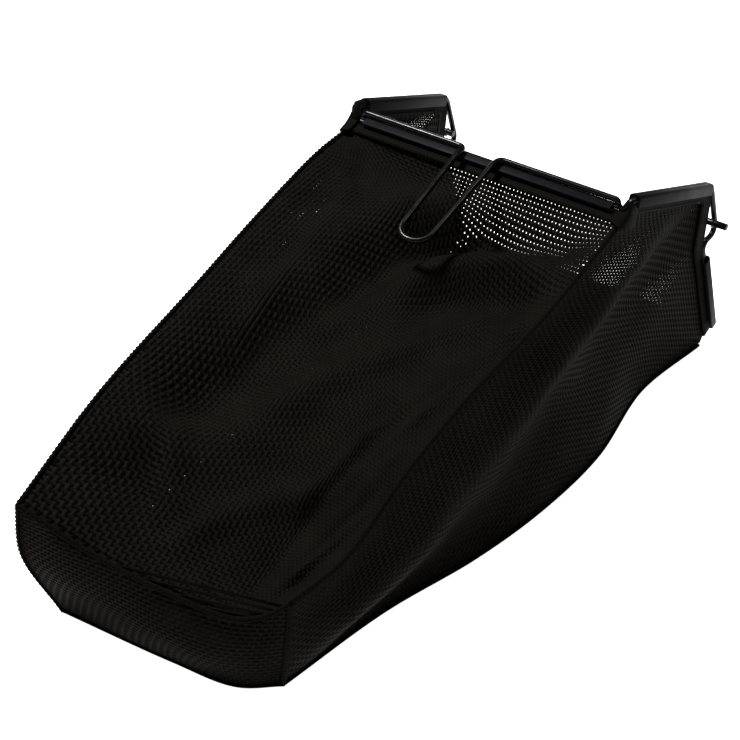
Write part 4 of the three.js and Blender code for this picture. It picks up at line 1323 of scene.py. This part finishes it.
class BAG_OT_net_panels(bpy.types.Operator):
    """Weaves the top, side and rear panels of open net, strand by strand"""

    bl_idname = "bag.net_panels"
    bl_label = "Net panels"

    def execute(self, context):
        sizes = context.scene.bag_cloth
        net = material_named("net", coated_polyester, tuple(sizes.net_colour))
        even = (sizes.warp_width, sizes.weft_width)
        slack = (sizes.slack_warp_width, sizes.slack_weft_width)
        # Each panel's surface, anchor, strand widths, crimp, flat size, flat area and carrier
        panels = {
            "top": (top_surface, 0.5, even, 0.5, (0.37, 0.6), 0.214, "top_hem"),
            "right_side": (side_surface(1), 1.0, even[::-1], 0.8, (0.31, 0.76), 0.178, "right_side_hem"),
            "left_side": (side_surface(-1), 1.0, slack, 1.0, (0.31, 0.8), 0.199, "left_side_hem"),
            "rear": (rear_surface, 0.0, even, 0.5, (0.3, 0.15), 0.036, "top_net"),
        }
        for name, (surface, anchor, widths, crimp, flat, area, carrier) in panels.items():
            piece = weave_net(f"{name}_net", surface, anchor, *widths, crimp)
            finish_piece(piece, f"{name}_net", net, [f"{name}_panel"])
        return {"FINISHED"}


def sweep_band(name, path, outward, width, thickness, corners=10, power=2.6):
    """A flat, round-edged band along a path, lying across the outward direction.
    Its section is an ellipse with squared shoulders, and both ends are closed."""
    path = np.asarray(path, float)
    tangents = units(np.gradient(path, axis=0))
    outward = np.broadcast_to(np.asarray(outward, float), path.shape)
    across = units(np.cross(tangents, outward))
    normal = np.cross(across, tangents)
    angles = np.arange(corners) * 2 * math.pi / corners
    sx, sy = (np.sign(f(angles)) * np.abs(f(angles)) ** (2 / power) for f in (np.cos, np.sin))
    rings = path[:, None] + across[:, None] * (sx * width / 2)[:, None]
    rings = rings + normal[:, None] * (sy * thickness / 2)[:, None]
    quads = tube_faces(len(path), corners)
    run = run_of(path) * MM
    uv = np.stack([quads % corners * width * MM * 2 / corners, run[quads // corners]], axis=-1)
    last = (len(path) - 1) * corners
    caps = [list(range(corners))[::-1], list(range(last, last + corners))]
    points = place(rings.reshape(-1, 3))
    return turn_outward(mesh_piece(name, points, quads.tolist() + caps, uv.reshape(-1, 2)))


def along_path(run, values, places):
    return np.stack([np.interp(places, run, values[:, k]) for k in range(3)], axis=1)


def stitch_rows(name, rows, spacing):
    """Rows of sewing stitches. A row is a path with its outward directions, and each stitch is
    a short six-sided spindle that dips into the cloth at both ends."""
    ring = np.arange(STITCH_SIDES) * 2 * math.pi / STITCH_SIDES
    count = len(STITCH_STATIONS) * STITCH_SIDES
    blocks = []
    for path, outward in rows:
        path = np.asarray(path, float)
        outward = np.broadcast_to(np.asarray(outward, float), path.shape)
        run = run_of(path)
        places = np.arange(spacing / 2, run[-1] - spacing / 2, spacing)
        centre = along_path(run, path, places)
        tangent = units(along_path(run, path, places + 1) - centre)
        side = units(np.cross(tangent, along_path(run, outward, places)))
        up = np.cross(side, tangent)
        points = [
            centre
            + tangent * (forward * STITCH_LENGTH)
            + side * (math.cos(angle) * radius * STITCH_WIDTH / 2)
            + up * (math.sin(angle) * radius * STITCH_WIDTH / 2 + STITCH_PROUD + height)
            for forward, radius, height in STITCH_STATIONS
            for angle in ring
        ]
        blocks.append(np.stack(points, axis=1).reshape(-1, 3))
    vertices = np.vstack(blocks)
    copies = np.arange(len(vertices) // count)[:, None] * count
    quads = tube_faces(len(STITCH_STATIONS), STITCH_SIDES)
    sides = (quads[None] + copies[:, :, None]).reshape(-1, 4)
    first = np.arange(STITCH_SIDES)[::-1]
    last = np.arange(count - STITCH_SIDES, count)
    caps = np.concatenate([first + copies, last + copies])
    return turn_outward(mesh_piece(name, place(vertices), sides.tolist() + caps.tolist()))


def seam_runs():
    """Each seam's name, its path, and the direction in which it stands out."""
    t = np.linspace(0, 1, SEAM_STEPS)
    short = np.linspace(0, 1, SHORT_SEAM_STEPS)
    return (
        ("top_right_seam", TOP_SEAM_RIGHT(t), unit(vec(1, 0, 0) + TOP_OUTWARD)),
        ("top_left_seam", TOP_SEAM_LEFT(t), unit(vec(-1, 0, 0) + TOP_OUTWARD)),
        ("rear_top_seam", REAR_TOP_SEAM(t), unit(vec(0, -1, 1))),
        ("rear_right_seam", REAR_SEAM_RIGHT(short), unit(vec(1, -1, 0))),
        ("rear_left_seam", REAR_SEAM_LEFT(short), unit(vec(-1, -1, 0))),
    )


class BAG_OT_seams(bpy.types.Operator):
    """Folds the seams between the panels and sews a row of stitches along each"""

    bl_idname = "bag.seams"
    bl_label = "Seams"

    def execute(self, context):
        sizes = context.scene.bag_cloth
        width = sizes.seam_width / MM
        thickness = sizes.seam_thickness / MM
        bands = [(*seam, width, thickness) for seam in seam_runs()]
        feet = {"right": FOOT_SEAM_RIGHT, "left": FOOT_SEAM_LEFT, "rear": REAR_FOOT_SEAM}
        flat_size = (width * FOOT_SEAM_WIDER, thickness * FOOT_SEAM_THINNER)
        for place_name, seam in feet.items():
            raised = seam(np.linspace(0, 1, SEAM_STEPS)) + vec(0, 0, thickness / 2)
            bands.append((f"{place_name}_foot_seam", raised, vec(0, 0, 1), *flat_size))
        rows = []
        for name, path, outward, band_width, band_thickness in bands:
            band = sweep_band(name, path, outward, band_width, band_thickness)
            finish_piece(band, name, tape_material())
            rows.append((path + outward * band_thickness / 2, outward))
        stitches = stitch_rows("seam_stitches", rows, sizes.stitch_spacing / MM)
        finish_piece(stitches, "seam_stitches", material_named("thread", sewing_thread))
        return {"FINISHED"}


class BAG_OT_hems(bpy.types.Operator):
    """Lays the woven hems along the mouth, each with two rows of stitches"""

    bl_idname = "bag.hems"
    bl_label = "Hems"

    def execute(self, context):
        sizes = context.scene.bag_cloth
        t = np.linspace(0, 1, HEM_STEPS)[:, None]
        top_centre = vec(0, CROSS_Y, MOUTH_HEIGHT) + TOP_DIRECTION * HEM_CENTRE_OFFSET
        low_centre = vec(0, BOTTOM_ROD[0] - HEM_CENTRE_OFFSET, BOTTOM_ROD[1])
        runs = []
        for place_name, centre, reach, outward in (
            ("top", top_centre, SIDE_X - ROD_DIAMETER, TOP_OUTWARD),
            ("bottom", low_centre, SIDE_X - BOTTOM_BEND - ROD_RADIUS, vec(0, 0, 1)),
        ):
            path = lerp(centre - vec(reach, 0, 0), centre + vec(reach, 0, 0), t)
            runs.append((f"{place_name}_hem_tape", f"{place_name}_hem", path, outward, HEM_WIDTH))
        side_width = sizes.side_tape_width / MM
        for side_name, side in SIDES:
            path = line_through(side_hem_path(side))(np.linspace(0, 1, SIDE_HEM_STEPS))
            turned = units(np.gradient(path, axis=0))
            path = path - np.cross(turned, vec(1, 0, 0)) * (side_width - HEM_WIDTH) / 2
            node = f"{side_name}_side_hem"
            runs.append((f"{side_name}_hem_tape", node, path, vec(side, 0, 0), side_width))
        rows = []
        for name, node, path, outward, width in runs:
            band = sweep_band(name, path, outward, width, HEM_THICKNESS, HEM_CORNERS, HEM_SQUARENESS)
            finish_piece(band, name, tape_material(), [node])
            across = units(np.cross(np.gradient(path, axis=0), outward))
            for shift in (-width * HEM_STITCH_SHARE, width * HEM_STITCH_SHARE):
                rows.append((path + across * shift + outward * HEM_THICKNESS / 2, outward))
        stitches = stitch_rows("hem_stitches", rows, sizes.stitch_spacing / MM)
        finish_piece(stitches, "hem_stitches", material_named("thread", sewing_thread))
        return {"FINISHED"}


def thicken(piece, thickness, offset):
    """Gives a sheet its thickness."""
    make_active(piece)
    apply_modifier(piece, "SOLIDIFY", thickness=thickness, offset=offset)


class BAG_OT_corner_cloth(bpy.types.Operator):
    """Wraps the cloth round the two top corners of the frame: a sleeve on the rod and a gusset"""

    bl_idname = "bag.corner_cloth"
    bl_label = "Corner cloth"

    def execute(self, context):
        cross = [vec(x, CROSS_Y, MOUTH_HEIGHT) for x in (0, SIDE_X - CORNER_INSET)]
        slant = [profile_point(CORNER, SIDE_X), profile_point(SLANT_END, SIDE_X)]
        rod = line_through(rounded_path(cross + slant, [CORNER_BEND, CORNER_BEND]))
        fine = rod(np.linspace(0, 1, SLEEVE_SAMPLES))
        fine = fine[fine[:, 0] > CORNER_WRAP_START]
        shares = np.meshgrid(np.linspace(0, 1, GUSSET_COLUMNS), np.linspace(0, 1, GUSSET_ROWS))
        across, back = (a.ravel() for a in shares)
        edges = [curve_through(edge)(across) for edge in (GUSSET_ROD_EDGE, GUSSET_BAG_EDGE)]
        patch = lerp(*edges, back[:, None])
        quads = grid_faces(GUSSET_ROWS, GUSSET_COLUMNS)
        for side_name, side in SIDES:
            turn = vec(side, 1, 1)
            name = f"{side_name}_corner_sleeve"
            reach = CHANNEL_STARTS[side_name] - CORNER_WRAP_MARGIN
            path = fine[fine[:, 1] < reach][::SLEEVE_STRIDE] * turn
            size = (SLEEVE_RADIUS * 2, SLEEVE_RADIUS * 2, SLEEVE_SIDES, 2.0)
            sleeve = sweep_band(name, path, vec(*SLEEVE_OUTWARD) * turn, *size)
            select_parts(sleeve)
            for cap in list(sleeve.data.polygons)[-2:]:
                cap.select = True
            make_active(sleeve)
            edit(lambda: bpy.ops.mesh.delete(type="FACE"))
            thicken(sleeve, SLEEVE_WALL * MM, -1)
            finish_piece(sleeve, name, tape_material())
            name = f"{side_name}_corner_gusset"
            rows = quads if side > 0 else quads[:, ::-1]
            uv = np.stack([across, back], axis=1)[rows.ravel()] * GUSSET_CLOTH * MM
            gusset = mesh_piece(name, place(patch * turn), rows.tolist(), uv)
            thicken(gusset, HEM_THICKNESS * MM, 0)
            finish_piece(gusset, name, tape_material())
        return {"FINISHED"}


class BAG_OT_floor_cloth(bpy.types.Operator):
    """Lays the close-woven bottom panel, which rises to its hem at the mouth"""

    bl_idname = "bag.floor_cloth"
    bl_label = "Floor cloth"

    def execute(self, context):
        colour = tuple(context.scene.bag_cloth.tape_colour)
        shares = (np.linspace(0, 1, count) for count in (FLOOR_ROWS, FLOOR_COLUMNS))
        along, across = np.meshgrid(*shares, indexing="ij")
        points = floor_surface(along.ravel(), across.ravel())
        quads = grid_faces(FLOOR_ROWS, FLOOR_COLUMNS)
        piece = mesh_piece("floor_cloth", place(points), quads.tolist(), points[quads.ravel(), :2] * MM)
        thicken(piece, CLOTH_THICKNESS * MM, 0)
        cloth = material_named("cloth", woven_tape, "close_weave", colour, CLOTH_RIB)
        finish_piece(piece, "floor_cloth", cloth, ["bottom_panel"])
        return {"FINISHED"}


class BAG_OT_studio(bpy.types.Operator):
    """Sets up the white floor, the soft lights and the camera"""

    bl_idname = "bag.studio"
    bl_label = "Studio"

    def execute(self, context):
        sizes = context.scene.bag_stage
        deselect()
        bpy.ops.mesh.primitive_plane_add(size=sizes.floor_size, location=(0, 0, -FLOOR_DROP * MM))
        floor = context.object
        apply_place()
        floor.name = "studio_floor"
        floor.data.materials.append(studio_paper(tuple(sizes.floor_colour)))
        world = context.scene.world or bpy.data.worlds.new("studio")
        context.scene.world = world
        context.scene.view_settings.view_transform = "Standard"
        world.use_nodes = True
        tree = world.node_tree
        tree.nodes.clear()
        sky = add_node(tree, "Background", {"Color": (1.0, 1.0, 1.0, 1.0), "Strength": SKY_STRENGTH})
        add_node(tree, "OutputWorld", links={"Surface": sky.outputs["Background"]})
        for name, location, size, power in LAMPS:
            deselect()
            bpy.ops.object.light_add(type="AREA", location=location)
            lamp = context.object
            lamp.name = name
            lamp.data.shape = "RECTANGLE"
            lamp.data.size = size
            lamp.data.size_y = size
            lamp.data.energy = power
            lamp.rotation_euler = (VIEW_TARGET - lamp.location).to_track_quat("-Z", "Y").to_euler()
        level = math.cos(VIEW_ELEVATION)
        back = Vector(
            (math.sin(VIEW_AZIMUTH) * level, -math.cos(VIEW_AZIMUTH) * level, math.sin(VIEW_ELEVATION))
        )
        deselect()
        bpy.ops.object.camera_add(location=VIEW_TARGET + back * VIEW_DISTANCE)
        camera = context.object
        camera.rotation_euler = (-back).to_track_quat("-Z", "Y").to_euler()
        camera.data.lens = LENS_MM
        camera.data.sensor_width = SENSOR_MM
        context.scene.camera = camera
        return {"FINISHED"}


class BAG_PT_sidebar(bpy.types.Panel):
    bl_label = "Grass bag"
    bl_idname = "BAG_PT_sidebar"
    bl_space_type = "VIEW_3D"
    bl_region_type = "UI"
    bl_category = "Grass bag"

    def draw(self, context):
        for operator in PIECE_OPERATORS:
            self.layout.operator(operator.bl_idname)
        for group in SIZE_GROUPS:
            sizes = getattr(context.scene, group)
            for key in type(sizes).__annotations__:
                self.layout.prop(sizes, key)


SIZE_GROUPS = {
    "bag_rods": RodSizes,
    "bag_channels": ChannelSizes,
    "bag_cloth": ClothSizes,
    "bag_stage": StageSizes,
}
PIECE_OPERATORS = (
    BAG_OT_studio,
    BAG_OT_frame_rods,
    BAG_OT_handle_wire,
    BAG_OT_hanger_pins,
    BAG_OT_snap_channels,
    BAG_OT_hems,
    BAG_OT_net_panels,
    BAG_OT_seams,
    BAG_OT_corner_cloth,
    BAG_OT_floor_cloth,
)


def register():
    for name, group in SIZE_GROUPS.items():
        bpy.utils.register_class(group)
        setattr(bpy.types.Scene, name, bpy.props.PointerProperty(type=group))
    for cls in (*PIECE_OPERATORS, BAG_PT_sidebar):
        bpy.utils.register_class(cls)


def unregister():
    for cls in reversed((*PIECE_OPERATORS, BAG_PT_sidebar)):
        bpy.utils.unregister_class(cls)
    for name, group in reversed(SIZE_GROUPS.items()):
        delattr(bpy.types.Scene, name)
        bpy.utils.unregister_class(group)


def main():
    register()
    bpy.ops.bag.studio()
    bpy.ops.bag.frame_rods()
    bpy.ops.bag.handle_wire()
    bpy.ops.bag.hanger_pins()
    bpy.ops.bag.snap_channels()
    bpy.ops.bag.hems()
    bpy.ops.bag.net_panels()
    bpy.ops.bag.seams()
    bpy.ops.bag.corner_cloth()
    bpy.ops.bag.floor_cloth()


if __name__ == "__main__":
    main()
